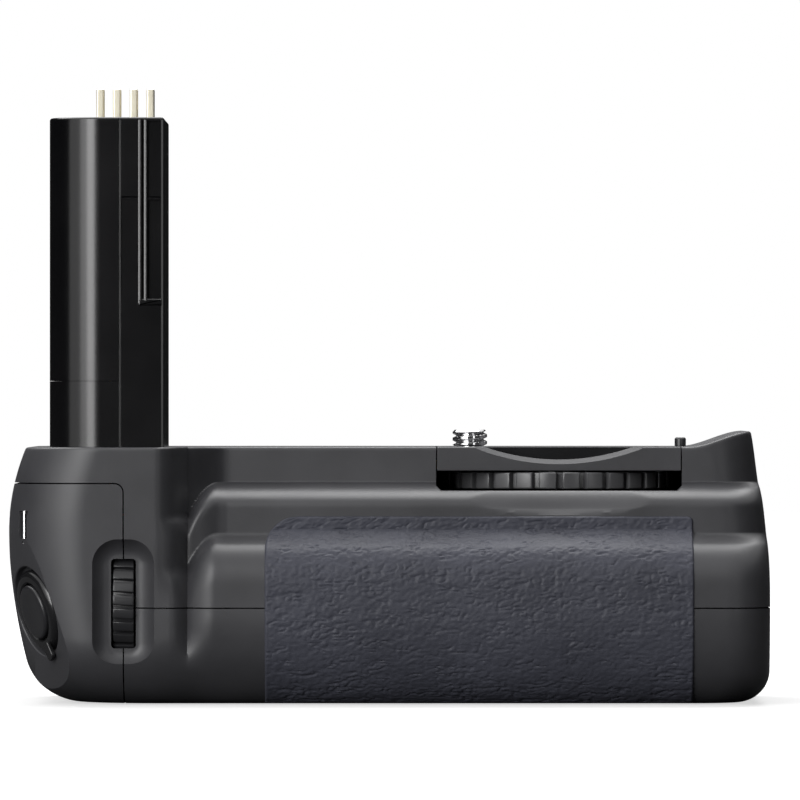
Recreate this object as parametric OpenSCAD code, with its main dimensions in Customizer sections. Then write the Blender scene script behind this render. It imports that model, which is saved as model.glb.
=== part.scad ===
// Camera battery grip: a two-shell body with an end cover, a battery column that stands in the
// camera's battery well, a thumbwheel geared to the camera screw, two dials, a shutter button
// with a lock collar, and a battery tray that slides out at the back.
// Origin on the common axis of camera screw and tripod socket, at the base face.
// +X to the right seen from the front, -Y to the front, +Z up. Millimetres.

/* [Battery packs and tray] */
// Width of one pack
pack_w = 39.5; // [37:0.1:42]
// Length of one pack
pack_l = 56; // [53:0.1:59]
// Thickness of one pack
pack_t = 21; // [20:0.1:22]
// Clearance around a pack in its bay
pack_gap = 0.2; // [0.15:0.05:0.4]
// Wall of the tray
tray_wall = 0.8; // [0.7:0.1:1.2]
// Floor of the tray
tray_floor = 1; // [0.8:0.1:1.4]
// Tray centre to the right of the screw axis
tray_x = -1.4; // [-2:0.1:-0.8]
// Clearance between tray and chamber
slide_gap = 0.3; // [0.25:0.05:0.5]
// Wall of the chamber
chamber_wall = 0.8; // [0.7:0.1:1.2]
// Height of the chamber above the base
chamber_lift = 5.6; // [5.4:0.1:7]
// Thickness of the tray cover
cover_t = 2.6; // [2.4:0.1:3.2]
// Margin of the tray cover below the chamber
cover_low = 1; // [0.6:0.1:1.3]
// Margin of the tray cover above the chamber
cover_high = 2.8; // [2:0.1:3.4]
// Gap around the tray cover
cover_gap = 0.25; // [0.15:0.05:0.4]

/* [Body] */
// Wall of the case
wall = 2.2; // [2:0.1:2.4]
// Depth of the body behind the screw axis
body_back = 31; // [30:0.1:33]
// Room between chamber and front face
front_room = 8.1; // [7.8:0.1:10]
// Height from the chamber to the camera seat
upper_room = 16.7; // [16.4:0.1:18]
// Width of the control block left of the chamber
block_w = 40.3; // [39.8:0.1:43]
// Width of the room right of the chamber
right_room = 13.4; // [13:0.1:15]
// Setback of the top band from the front
band_setback = 16; // [15:0.1:17]
// Setback of the middle step from the front
step_setback = 7.5; // [7:0.1:8.2]
// Height of the upper step of the front
step1_h = 4; // [3.6:0.1:4.6]
// Depth of the upper step's top edge under the seat
step1_drop = 6.8; // [6.5:0.1:7.2]
// Height of the lower step of the front
step2_h = 8; // [7:0.1:9]
// Height of the lower step's top edge over the chamber
step2_rise = 0.3; // [0.2:0.1:1]
// Height where the left end reaches furthest out
waist_z = 31.5; // [29:0.1:34]
// Sweep of the left end under its waist
left_sweep = 5.2; // [4.6:0.1:5.8]
// Lean of the left end over its waist
left_lean = 3.1; // [2:0.1:4]
// Lean of the right end towards the top
right_lean = 3; // [2.5:0.1:4]
// Rise of the horn at the right end
horn_rise = 2.9; // [2:0.1:3.5]
// Radius of the front left corner
corner_fl = 14; // [12:0.1:16]
// Radius of the front right corner
corner_fr = 8; // [6:0.1:9]
// Radius of the back corners
corner_b = 6; // [5:0.1:7]
// Radius under the front
fillet_front = 12; // [10:0.1:13]
// Height at which the front starts to round into the base, right of the control block
fillet_tall = 17; // [13:0.1:17.4]
// Radius under the back
fillet_back = 4; // [3:0.1:4.4]
// Radius under the left end
fillet_left = 8; // [7:0.1:9]
// Radius under the right end
fillet_right = 6; // [5:0.1:7]
// Depth of the groove beside the control block
groove_depth = 2.4; // [1.6:0.1:2.8]
// Height of the parting line between the cases
split_z = 17.5; // [16.5:0.1:18.5]
// Width of the end cover
end_cover_w = 21.1; // [20.8:0.1:22]
// Depth of the end cover's top edge under the seat
end_cover_drop = 6.5; // [6:0.1:7.5]
// Gap along the seams
seam_gap = 0.08; // [0.05:0.01:0.15]

/* [Battery column] */
// Width of the column
tower_w = 21; // [20:0.1:22]
// Depth of the column
tower_d = 39.5; // [38:0.1:41]
// Height of the column over the seat
tower_h = 59.8; // [55:0.1:64]
// Column's left face from the left end
tower_inset = 7.3; // [7:0.1:8.2]
// Column's front face from the body's front
tower_setback = 7; // [6.5:0.1:9]
// Wall of the column
tower_wall = 1.6; // [1.4:0.1:2]
// Rounded corner of the column
tower_round = 9.5; // [8:0.1:10]
// Other corners of the column
tower_corner = 2; // [1.8:0.1:2.2]
// Width of the column's rounded cover
tower_cover_w = 12.3; // [11.6:0.1:12.6]
// Height of the collar under the rounded cover
tower_collar_h = 12; // [10:0.1:14]
// Gap between the column's foot and its hole
foot_gap = 0.15; // [0.1:0.05:0.3]
// Number of contact blades
blade_n = 4; // [3:1:5]
// Pitch of the contact blades
blade_pitch = 3.05; // [2.9:0.05:3.2]
// Width of a contact blade
blade_w = 1.2; // [1:0.05:1.5]
// Depth of a contact blade
blade_d = 5; // [4:0.1:6]
// Height of the blades over the column
blade_rise = 5.5; // [4.5:0.1:6.5]

/* [Camera screw and thumbwheel] */
// Thread radius of the camera screw
thread_r = 3.175; // [3.1:0.005:3.25]
// Reach of the screw over the seat
screw_rise = 3.1; // [2.8:0.1:3.6]
// Relieved neck of the screw
neck_r = 2.4; // [2.2:0.05:2.6]
// Running clearance of pins and shafts
run_gap = 0.05; // [0.03:0.01:0.08]
// Radius of the thumbwheel
wheel_r = 21; // [20.4:0.1:21.6]
// Thickness of the thumbwheel
wheel_t = 3; // [2.8:0.05:3.1]
// Teeth on the thumbwheel's rim
wheel_grips = 30; // [26:1:34]
// Setback of the wheel's axis before the screw axis
wheel_front = 3; // [2.5:0.1:3.5]
// Radius of the wheel's axle
axle_r = 2; // [1.8:0.05:2.2]
// Module of the gears
gear_module = 0.8; // [0.79:0.005:0.81]
// Teeth of the wheel's gear
wheel_gear_n = 20; // [19:1:20]
// Teeth of the screw's gear
screw_gear_n = 21; // [20:1:21]
// Backlash at the pitch line
backlash = 0.12; // [0.1:0.01:0.2]
// Depth of the wheel cover
cover_plate_t = 4.3; // [4.2:0.05:4.5]
// Wheel cover's left end from the screw axis
plate_left = 6.1; // [5.8:0.1:6.4]
// Wheel cover's back edge from the screw axis
plate_back = 18; // [17.5:0.1:19]
// Radius of the lens scoop in the wheel cover
lens_r = 41; // [39:0.5:44]
// Depth of the lens scoop
lens_scoop = 2.3; // [1.8:0.1:2.5]
// Radius of the finger scoop under the wheel
finger_r = 28; // [27.4:0.1:28.4]
// Radius of the locating pin
pin_r = 1.05; // [0.95:0.05:1.15]
// Reach of the locating pin over the seat
pin_rise = 1.7; // [1.4:0.1:2]

/* [Base] */
// Wall radius of the tripod socket's thread
socket_r = 2.55; // [2.5:0.01:2.6]
// Depth of the tripod socket's thread
socket_depth = 4.8; // [4.4:0.1:4.9]
// Outer radius of the socket
socket_outer_r = 6; // [5.5:0.1:6.4]
// Width of the base pad
base_pad_w = 60; // [50:1:70]
// Depth of the base pad
base_pad_d = 30; // [26:1:34]
// Thickness of the base pad
base_pad_t = 0.6; // [0.5:0.05:0.8]

/* [Pads] */
// Thickness of the front pad
pad_t = 0.55; // [0.4:0.05:0.7]
// Clearance under the pads
pad_gap = 0.05; // [0.03:0.01:0.08]
// Front pad's left edge from the chamber's left side
pad_left = 6.3; // [5:0.1:8]
// Front pad's right edge from the chamber's right side
pad_right = 0.6; // [0.2:0.1:2]
// Height of the front pad's lower edge
pad_low = 0.4; // [0.2:0.1:1]
// Height of the front pad's top edge over the chamber
pad_high = 4.2; // [3.6:0.1:4.6]

/* [Dials] */
// Radius of the front dial
dial_r = 12; // [11.6:0.1:12.2]
// Width of the front dial
dial_w = 3.8; // [3.4:0.1:4]
// Teeth on the front dial
dial_teeth = 31; // [28:1:34]
// Height of the front dial's axis
dial_z = 18.3; // [17.8:0.1:18.8]
// Setback of the front dial's rim from the front
dial_sink = 0.7; // [0.3:0.1:1]
// Width of the dial slots
slot_w = 4.5; // [4.2:0.1:4.8]
// Height of the front dial slot
slot_h = 16.2; // [15.8:0.1:17]
// Width of the dish around the front dial
dish_w = 11.2; // [10.6:0.1:11.8]
// Height of the dish around the front dial
dish_h = 23.3; // [22.6:0.1:24]
// Depth of the dish around the front dial
dish_depth = 2; // [1.6:0.1:2.2]
// Radius of the rear dial
rear_dial_r = 9.5; // [9.2:0.1:9.7]
// Teeth on the rear dial
rear_dial_teeth = 25; // [22:1:28]
// Depth of the rear dial's axis under the seat
rear_dial_drop = 12.5; // [12.2:0.1:13]
// Reach of the rear dial behind the back
rear_dial_reach = 1.2; // [0.8:0.1:1.6]
// Rear dial's distance from the chamber
rear_dial_inset = 8.6; // [8.4:0.1:9]
// Radius of the dial shafts
shaft_r = 1.2; // [1.1:0.05:1.3]

/* [Shutter release] */
// Direction of the release axis around the vertical
release_turn = 205.8; // [204:0.1:208]
// Downward lean of the release axis
release_lean = 15; // [13:0.1:17]
// Release centre from the left end
release_inset = 5.7; // [5.5:0.1:6.2]
// Release centre from the front
release_setback = 9.8; // [9.4:0.1:10.4]
// Height of the release centre
release_z = 16.9; // [16.4:0.1:17.4]
// Radius of the release button
release_r = 5; // [4.8:0.05:5.2]
// Travel of the release button
release_travel = 1; // [0.8:0.1:1.2]
// Outer radius of the lock collar
collar_r = 7.6; // [7.3:0.1:7.9]
// Radius of the recess around the collar
recess_r = 8.4; // [8.2:0.1:8.8]
// Clearance of the buttons in their holes
button_gap = 0.15; // [0.1:0.01:0.2]

/* [Rear button, strap bar and latch] */
// Radius of the rear button
rear_button_r = 3.2; // [3:0.05:3.4]
// Reach of the rear button behind the back
rear_button_reach = 0.9; // [0.8:0.05:1.2]
// Travel of the rear button
rear_button_travel = 0.6; // [0.5:0.05:0.7]
// Height of the rear button
rear_button_z = 31; // [30:0.1:32]
// Radius of the strap bar
bar_r = 0.5; // [0.4:0.05:0.55]
// Height of the strap bar's centre
bar_z = 32.5; // [32:0.1:33]
// Height of the strap bar's recess
bar_h = 5; // [4.8:0.1:5.6]
// Radius of the latch key
key_r = 3.5; // [3.2:0.1:3.6]
// Radius of the latch key's shaft
key_shaft_r = 1.5; // [1.4:0.05:1.6]
// Reach of the latch cam
cam_l = 5.4; // [5.1:0.1:5.6]
// Latch axis to the right of the chamber
latch_x = 3.4; // [3.3:0.05:3.6]

/* [Hidden] */
$fn = 48;
eps = 0.01;
far = 200;
seat_fit = 0.02;
chamber_room = 0.15;

// Packs, tray, chamber and cover
bay_w = pack_w + 2 * pack_gap;
tray_w = 2 * bay_w + 3 * tray_wall;
tray_x0 = tray_x - tray_w / 2;
tray_x1 = tray_x + tray_w / 2;
chamber_x0 = tray_x0 - slide_gap - chamber_wall;
chamber_x1 = tray_x1 + slide_gap + chamber_wall;
tray_z0 = chamber_lift + chamber_wall + slide_gap;
pack_z0 = tray_z0 + tray_floor;
pack_z1 = pack_z0 + pack_t;
chamber_z1 = pack_z1 + slide_gap + chamber_wall;
cover_y0 = body_back - cover_t;
pack_y0 = cover_y0 - pack_gap - pack_l;
tray_y0 = pack_y0 - pack_gap - tray_wall;
chamber_y0 = tray_y0 - slide_gap - chamber_wall;
chamber_y1 = cover_y0 - 0.1;
cover_z0 = chamber_lift - cover_low;
cover_z1 = chamber_z1 + cover_high;

// Outside of the body
seat_z = chamber_z1 + upper_room;
body_front = front_room - chamber_y0;
body_left = block_w - chamber_x0;
body_right = chamber_x1 + right_room;
band_front = body_front - band_setback;
step_front = body_front - step_setback;
step_soft = 0.12;
step1_top = seat_z - step1_drop;
step2_top = chamber_z1 + step2_rise;
step2_low = step2_top - step2_h * (1 + step_soft);
base_top = min(fillet_tall, step2_low - 1);
block_run = 13;
block_x1 = chamber_x0 - 0.4;
block_x0 = block_x1 - block_run;
groove_x = block_x1 - 7.3;
groove_left = 3.2;
groove_right = 5;
groove_z0 = 6;
groove_run = 8;
step_skew = 0.6;
corner_drop_h = 6;
corner_drop_run = 5.5;
lean_power = 2.4;
horn_x = chamber_x1 - 1.3;
horn_end = body_right - 2.7;
end_x = end_cover_w - body_left;
end_z = seat_z - end_cover_drop;
cover_x0 = chamber_x0 - 0.6;
cover_x1 = body_right - corner_b;

// Wheel, gears and their decks, measured down from the seat
gear_distance = gear_module * (wheel_gear_n + screw_gear_n) / 2;
wheel_y = -wheel_front;
wheel_x = sqrt(pow(gear_distance, 2) - pow(wheel_front, 2));
mesh_angle = atan2(wheel_y, wheel_x);
deck_gap = 0.3;
plate_z0 = seat_z - cover_plate_t;
wheel_z0 = plate_z0 - deck_gap - wheel_t;
deck_t = 1.3;
deck_z1 = wheel_z0 - deck_gap - 0.1;
deck_z0 = deck_z1 - deck_t;
deck_edge_r = wheel_r + 1.6;
slot_z0 = wheel_z0 - deck_gap;
gear_z0 = plate_z0 + 0.2;
gear_t = 1.6;
gear_z1 = gear_z0 + gear_t;
pocket_z1 = gear_z1 + 0.2;
plate_x1 = wheel_x + wheel_r + 1.1;
plate_step_x = plate_x1 - 3.7;
plate_step_y = -12;
plate_gap = 0.15;
finger_z0 = seat_z - 11.5;
finger_back = -17.5;
post_r = 1.8;
posts = [[-plate_left + 2.1, plate_back - 4], [plate_step_x - 2, plate_back - 2.5]];
pin_x = plate_x1 + 0.7;
pin_y = 6;
pin_shoulder = 0.55;
pin_foot = 1;
pin_neck = 0.2;
pin_shoulder_z1 = seat_z - 0.4;
gear_room = 0.6;
gear_root = 1.25;
gear_tip = 1;
pressure_angle = 20;
hub_r = 5;
grip_depth = 1.4;
grip_share = 0.13;
axle_top = seat_z - 1.1;
axle_head = 1.2;
axle_head_t = 0.8;
cover_screw_r = 0.8;
cover_head_r = 1.55;
cover_head_z0 = seat_z - 1.2;
cover_head_z1 = seat_z - 0.2;
screw_clear = 0.1;
front_post = 10;
notch_x = 10.2;
notch_half = 0.4;
notch_in = 1.2;
neck_top = seat_z + 0.1;
screw_lead = 0.4;
scoop_wall = 1.5;

// Battery column
tower_x0 = tower_inset - body_left;
tower_x1 = tower_x0 + tower_w;
tower_y0 = tower_setback - body_front;
tower_y1 = tower_y0 + tower_d;
tower_z1 = seat_z + tower_h;
tower_cut_x = tower_x0 + tower_cover_w;
tower_cut_z = seat_z + tower_collar_h;
foot_in = 3.2;
tower_sink = 0.6;
tower_floor = 2;
tower_plate_t = 1.5;
foot_z0 = seat_z - wall;
tower_plate_z0 = foot_z0 - tower_plate_t;
blade_x0 = tower_x1 - 2.8 - (blade_n - 1) * blade_pitch;
blade_y0 = tower_y0 + 13;
blade_gap = 0.15;
block_h = 6;
block_foot = 0.8;
block_margin = 2;
block_z0 = tower_z1 - tower_wall - block_h - block_foot;
tower_plate_in = 1.5;
tower_plate_front = 4;
tower_screw_x = tower_x1 - 6;
tower_screw_y = [tower_y0 + 7, tower_y1 - 8];
tower_screw_top = seat_z + 1.4;
screw_head_t = 1.2;
inset_x0 = tower_x1 - 3.6;
inset_x1 = tower_x1 - 0.7;
inset_z0 = seat_z + 27.1;
inset_z1 = seat_z + 44.8;
inset_depth = 0.8;

// Flex lead and main board
flex_x = tower_x0 + 11;
flex_t = 0.3;
flex_y0 = blade_y0;
flex_y1 = blade_y0 + 7;
flex_z = chamber_z1 + 4.2;
flex_room = 1;
flex_side = 0.5;
board_t = 1.2;
board_z0 = chamber_z1 + 1.6;
board_x0 = chamber_x0 + 3;
board_x1 = -plate_left - 4;
board_y0 = flex_y0 - 2;
board_y1 = 18;
board_post_r = 2;

// Release axis
release_p = [release_inset - body_left, release_setback - body_front, release_z];
facet_s = 0.8;
recess_s = -0.6;
release_wall_s = recess_s - wall;
flange_t = 1.1;
switch_s = release_wall_s - flange_t - release_travel - 0.3;
switch_h = 2.4;
release_board_s = switch_s - switch_h;
release_board_r = 7;
release_post_r = 1.2;
release_top_s = 1.6;
flange_gap = 0.1;
flange_r = release_r + 1;
switch_w = 6;
collar_t = 1.6;
collar_gap = 0.3;
tab_turn = 24;
tab_in = collar_r - 1.2;
tab_l = 3.2;
tab_w = 2.4;
tab_t = 0.8;

// Dials, rear button, strap bar and latch
dial_y = dial_sink - body_front + dial_r;
rear_dial_x = chamber_x0 - rear_dial_inset;
rear_dial_y = body_back + rear_dial_reach - rear_dial_r;
rear_dial_z = seat_z - rear_dial_drop;
dish_corner = 4.5;
slot_back = 6;
dial_tooth = 0.8;
dial_share = 0.17;
encoder_w = 4.2;
encoder_gap = 0.5;
encoder_half = 5.5;
rear_encoder_half = 4.5;
bracket_t = 1.2;
bracket_foot = 6;
rear_button_x = end_x - 8.2;
rear_flange = 0.8;
rear_flange_t = 1.2;
rear_switch_gap = 0.15;
thumb_pad_w = 10;
thumb_pad_h = 15;
thumb_pad_r = 2.5;
thumb_pad_t = 0.8;
thumb_pad_x = end_x - 6.8;
thumb_pad_z = split_z + 1.5;
side_board_y = body_back - wall - 10;
side_board_x0 = end_x - 12;
side_board_x1 = end_x - 1.2;
side_board_z0 = dial_z - 6;
side_board_z1 = rear_button_z + 6.8;
side_posts = [[end_x - 10, dial_z - 3.5], [end_x - 3, dial_z + 17.5]];
side_post_r = 1.6;
bar_angle = 214;
bar_sink = 0.4;
bar_slot_w = 1.6;
bar_slot_in = 0.7;
bar_hold = 1;
key_x = chamber_x1 + latch_x;
key_z = (cover_z0 + cover_z1) / 2;
key_gap = 0.4;
key_y0 = body_back - 1.4;
key_y1 = body_back - 0.6;
key_bar_half = 0.8;
key_bar_in = 0.3;
key_bar_y1 = body_back + 0.3;
cam_t = 1.8;
cam_half = 1.4;
cam_hub_r = 2.3;
cam_y1 = cover_y0 - 0.5;
cover_corner = 3;
contact_w = 4;
contact_h = 8;
contact_pitch = 9;
contact_lift = 3;
tray_share = 0.6;
pack_corner = 2;

// Case screws: place in plan, two right of the chamber and two left of it
case_screw_x = [chamber_x1 + 5.6, chamber_x1 + 5.6, chamber_x0 - 4.4, chamber_x0 - 4.4];
case_screw_y = [-14, 16, -4, 10];
screw_post_r = 2.6;
case_screw_r = 1.1;
case_head_r = 2.1;
case_head_z0 = 0.6;
case_head_z1 = 2;
case_screw_top = split_z + 6.5;
rib_w = 3;
rib_half = 20;
ribs = [chamber_x0 + 12, chamber_x1 - 15];
socket_cap = 0.6;
socket_flange = 2.5;
socket_flange_t = 1.2;

// Outline functions of the body. w is the inset from the outer surface, negative for outside it.
function smooth(t) = let (c = min(1, max(0, t))) c * c * (3 - 2 * c);
function quarter_area(t) = let (u = 1 - min(1, max(0, t)))
    (90 - asin(u)) * PI / 360 - u * sqrt(1 - u * u) / 2 + max(0, t - 1);
function shoulder(t) = (quarter_area(t + step_soft) - quarter_area(t - step_soft)) / (2 * step_soft);
function round_in(d, r) = d >= r ? 0 : r - sqrt(max(0, r * r - pow(r - max(0, d), 2)));
function left_x(z, w) = w - body_left + round_in(z - w, fillet_left - w) + (z > waist_z
    ? left_lean * pow((z - waist_z) / (seat_z - waist_z), 2)
    : left_sweep * pow((waist_z - z) / waist_z, 2));
function right_x(z, w) = body_right - w - round_in(z - w, fillet_right - w)
    - right_lean * pow(max(0, z - split_z) / (seat_z - split_z), lean_power);
function step_depth(z) = band_front
    + (step_front - band_front) * shoulder((step1_top - z) / step1_h)
    + (body_front - step_front) * shoulder((step2_top - z) / step2_h);
function block_share(x) = 1 - smooth((x - block_x0) / (block_x1 - block_x0));
function corner_drop(x) = corner_drop_h * pow(1 - min(1, max(0, x - groove_x) / corner_drop_run), 2);
function groove(x, z) = let (d = x - groove_x, wall = d < 0 ? -d / groove_left : d / groove_right)
    groove_depth * pow(max(0, 1 - wall), 2) * smooth((z - groove_z0) / groove_run);
function base_round(z, w, tall) = round_in(z - w, tall - w) * (fillet_front - w) / (tall - w);
function front_y(x, z, w) = let (d = step_depth(z + step_skew * w + corner_drop(x)))
    w - d - (body_front - d) * block_share(x) + groove(x, z)
    + base_round(z, w, fillet_front + (fillet_tall - fillet_front) * (1 - block_share(x)))
    + round_in(x - left_x(z, w), corner_fl - w) + round_in(right_x(z, w) - x, corner_fr - w);
function back_y(x, z, w) = body_back - w - round_in(z - w, fillet_back - w)
    - round_in(x - left_x(z, w), corner_b - w) - round_in(right_x(z, w) - x, corner_b - w);
function horn(x, z) = horn_rise * smooth((x - horn_x) / (horn_end - horn_x))
    * smooth((z - step1_top) / (seat_z - step1_top));

// Stations along X between the ends of one level, closer together where the outline bends
function stations(x0, x1, n) = concat(
    [for (i = [0:2 * n]) x0 + (block_x0 - x0) * (1 - cos(45 * i / n))],
    [for (i = [1:2 * n]) block_x0 + (block_x1 - block_x0) * i / (2 * n)],
    [for (i = [1:n]) block_x1 + (horn_x - block_x1) * i / n],
    [for (i = [1:n + 1]) horn_x + (x1 - horn_x) * sin(90 * i / (n + 1))]);
function levels(n) = concat(
    [for (i = [0:n]) base_top * (1 - cos(90 * i / n))],
    [(base_top + step2_low) / 2],
    [for (i = [0:n]) step2_top + step2_h * ((1 + 2 * step_soft) * i / n - 1 - step_soft)],
    [for (i = [0:n]) step1_top + step1_h * ((1 + 2 * step_soft) * i / n - 1 - step_soft)],
    [(step1_top + seat_z) / 2, seat_z]);
function ring(z, w, n) = let (xs = stations(left_x(z, w), right_x(z, w), n), m = len(xs))
    concat([for (x = xs) [x, front_y(x, z, w), z + (w > 0 ? 0 : horn(x, z))]],
        [for (i = [m - 1:-1:0]) [xs[i], back_y(xs[i], z, w), z + (w > 0 ? 0 : horn(xs[i], z))]]);

// Closed solid of the body's outer form, inset by w, with n steps to a bend
module body_solid(w, n) {
    zs = [for (l = levels(n)) w + l * (seat_z - 2 * w) / seat_z];
    m = len(ring(seat_z / 2, w, n));
    half = m / 2;
    top = (len(zs) - 1) * m;
    points = [for (z = zs) each ring(z, w, n)];
    sides = [for (k = [0:len(zs) - 2], j = [0:m - 1]) let (a = k * m + j, b = k * m + (j + 1) % m)
        each [[a, a + m, b + m], [a, b + m, b]]];
    caps = [for (i = [0:half - 2]) let (a = i, b = i + 1, c = m - 2 - i, d = m - 1 - i)
        each [[a, b, c], [a, c, d], [top + a, top + c, top + b], [top + a, top + d, top + c]]];
    polyhedron(points, concat(sides, caps), convexity = 6);
}

module box(lo, hi) {
    translate(lo) cube([hi.x - lo.x, hi.y - lo.y, hi.z - lo.z]);
}

// Upright rod from z0 to z1
module rod(x, y, z0, z1, r) {
    translate([x, y, z0]) cylinder(r = r, h = z1 - z0);
}

// Rounded rectangle of size w by h around the origin, made of exact arcs
module round_rect(w, h, r) {
    square([w - 2 * r, h], center = true);
    square([w, h - 2 * r], center = true);
    for (sx = [-1, 1], sy = [-1, 1]) translate([sx * (w / 2 - r), sy * (h / 2 - r)]) circle(r = r);
}

// Rounded rectangular bar along Y, from y0 to y1, centred at x and z
module bar_y(x, z, w, h, r, y0, y1) {
    translate([x, y1, z]) rotate([90, 0, 0]) linear_extrude(y1 - y0) round_rect(w, h, r);
}

// Cylinder along Y from y0 to y1
module rod_y(x, z, y0, y1, r) {
    translate([x, y1, z]) rotate([90, 0, 0]) cylinder(r = r, h = y1 - y0);
}

// Local frame on the release axis: Z outwards, X downwards
module on_release() {
    translate(release_p) rotate([0, 90 + release_lean, release_turn]) children();
}

// Local frame at the strap bar: Z up, X outwards
module on_bar() {
    d = corner_fl - bar_r - bar_sink;
    translate([corner_fl - body_left + d * cos(bar_angle), corner_fl - body_front + d * sin(bar_angle),
        bar_z]) rotate([0, 0, bar_angle]) children();
}

// Ring of n blunt teeth around Z, used for the wheel and the dials
module toothed_disc(r, h, n, depth, share) {
    difference() {
        cylinder(r = r, h = h);
        for (i = [0:n - 1]) rotate(360 * i / n) translate([r - depth, -share * PI * r / n, -eps])
            cube([2 * depth, 2 * share * PI * r / n, h + 2 * eps]);
    }
}

// Involute gear outline with one tooth on +X
function inv(a) = tan(a) - a * PI / 180;
function tooth_half(r, n) = let (rp = gear_module * n / 2, rb = rp * cos(pressure_angle))
    90 / n - backlash / rp * 45 / PI
    + (inv(pressure_angle) - inv(acos(min(1, rb / max(r, rb))))) * 180 / PI;
module gear_2d(n) {
    rp = gear_module * n / 2;
    radii = [for (i = [0:4]) rp + gear_module * (i / 4 * (gear_root + gear_tip) - gear_root)];
    polygon([for (t = [0:n - 1]) each concat(
        [for (i = [0:4]) let (a = 360 * t / n - tooth_half(radii[i], n)) radii[i] * [cos(a), sin(a)]],
        [for (i = [4:-1:0]) let (a = 360 * t / n + tooth_half(radii[i], n)) radii[i] * [cos(a), sin(a)]])]);
}

// Hollow body wall, thickened inside by the children, before its openings are cut
module body_wall() {
    difference() {
        body_solid(0, 4);
        difference() {
            body_solid(wall, 2);
            children();
        }
    }
}

module case_posts(z0, z1) {
    for (i = [0:3]) rod(case_screw_x[i], case_screw_y[i], z0, z1, screw_post_r);
}

// Opening in the back for the tray cover
module cover_opening() {
    box([cover_x0 - cover_gap, cover_y0 - 1, cover_z0 - cover_gap],
        [cover_x1 + cover_gap, body_back + 1, cover_z1 + cover_gap]);
}

// Dish and slot of the front dial
module dial_cut() {
    bar_y(end_x, dial_z, dish_w, dish_h, dish_corner, -far, dish_depth - body_front);
    box([end_x - slot_w / 2, -far, dial_z - slot_h / 2],
        [end_x + slot_w / 2, dial_y - slot_back, dial_z + slot_h / 2]);
}

// Thick wall behind the front dial's dish
module dial_backing() {
    box([end_x - dish_w / 2 - wall, -far, dial_z - dish_h / 2 - wall],
        [end_x + dish_w / 2 + wall, dish_depth + wall - body_front, dial_z + dish_h / 2 + wall]);
}

// Room for the turning front dial behind its slot
module dial_room() {
    translate([end_x - slot_w / 2, dial_y, dial_z]) rotate([0, 90, 0])
        cylinder(r = dial_r + deck_gap, h = slot_w);
}

module upper_case() {
    color("#2a2b2f") difference() {
        intersection() {
            body_wall() {
                dial_backing();
                case_posts(split_z, seat_z);
                intersection() {
                    rod(wheel_x, wheel_y, finger_z0 - wall, deck_z0 - 0.1, finger_r + wall);
                    box([-far, -far, 0], [far, finger_back + scoop_wall, far]);
                }
            }
            union() {
                box([end_x + seam_gap / 2, -far, split_z + seam_gap / 2], [far, far, far]);
                box([-far, -far, end_z + seam_gap / 2], [end_x + 1, far, far]);
            }
        }
        // Slot of the wheel, opening of the wheel cover and the finger scoop
        box([-plate_left - plate_gap, -far, slot_z0], [plate_x1 + plate_gap, finger_back + 1, far]);
        box([-plate_left - plate_gap, finger_back, seat_z - wall - 1],
            [plate_x1 + plate_gap, plate_step_y + plate_gap, far]);
        box([-plate_left - plate_gap, finger_back, seat_z - wall - 1],
            [plate_step_x + plate_gap, plate_back + plate_gap, far]);
        intersection() {
            rod(wheel_x, wheel_y, finger_z0, slot_z0 + 1, finger_r);
            box([-far, -far, 0], [far, finger_back, far]);
        }
        // Foot of the column, locating pin and case screws
        translate([0, 0, seat_z - tower_sink]) linear_extrude(far) tower_plan(-foot_gap);
        box([tower_x0 + foot_in - foot_gap, tower_y0 + foot_in - foot_gap, foot_z0 - 1],
            [tower_x1 - foot_in + foot_gap, tower_y1 - foot_in + foot_gap, far]);
        rod(pin_x, pin_y, foot_z0 - 1, far, pin_r + pin_shoulder + seat_fit);
        for (i = [0:3]) rod(case_screw_x[i], case_screw_y[i], 0, case_screw_top + 0.5,
            case_screw_r + seat_fit);
        // Dials and tray cover
        dial_cut();
        dial_room();
        translate([rear_dial_x - slot_w / 2, rear_dial_y, rear_dial_z]) rotate([0, 90, 0])
            cylinder(r = rear_dial_r + deck_gap, h = slot_w);
        cover_opening();
        // Room for the upper edges of the battery chamber
        box([chamber_x0 - chamber_room, chamber_y0 - chamber_room, split_z],
            [chamber_x1 + chamber_room, chamber_y1, chamber_z1 + chamber_room]);
    }
}

module lower_case() {
    color("#2a2b2f") difference() {
        intersection() {
            body_wall() {
                dial_backing();
                case_posts(0, split_z);
                for (x = ribs) box([x, -rib_half, 0], [x + rib_w, rib_half, chamber_lift]);
            }
            box([end_x + seam_gap / 2, -far, -far], [far, far, split_z - seam_gap / 2]);
        }
        rod(0, 0, -1, wall + 1, socket_outer_r + pad_gap);
        box([-base_pad_w / 2 - pad_gap, -base_pad_d / 2 - pad_gap, -1],
            [base_pad_w / 2 + pad_gap, base_pad_d / 2 + pad_gap, base_pad_t]);
        for (i = [0:3]) {
            rod(case_screw_x[i], case_screw_y[i], -1, split_z + 1, case_screw_r + screw_clear);
            rod(case_screw_x[i], case_screw_y[i], -1, case_head_z1, case_head_r + screw_clear);
        }
        dial_cut();
        dial_room();
        cover_opening();
    }
}

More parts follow.
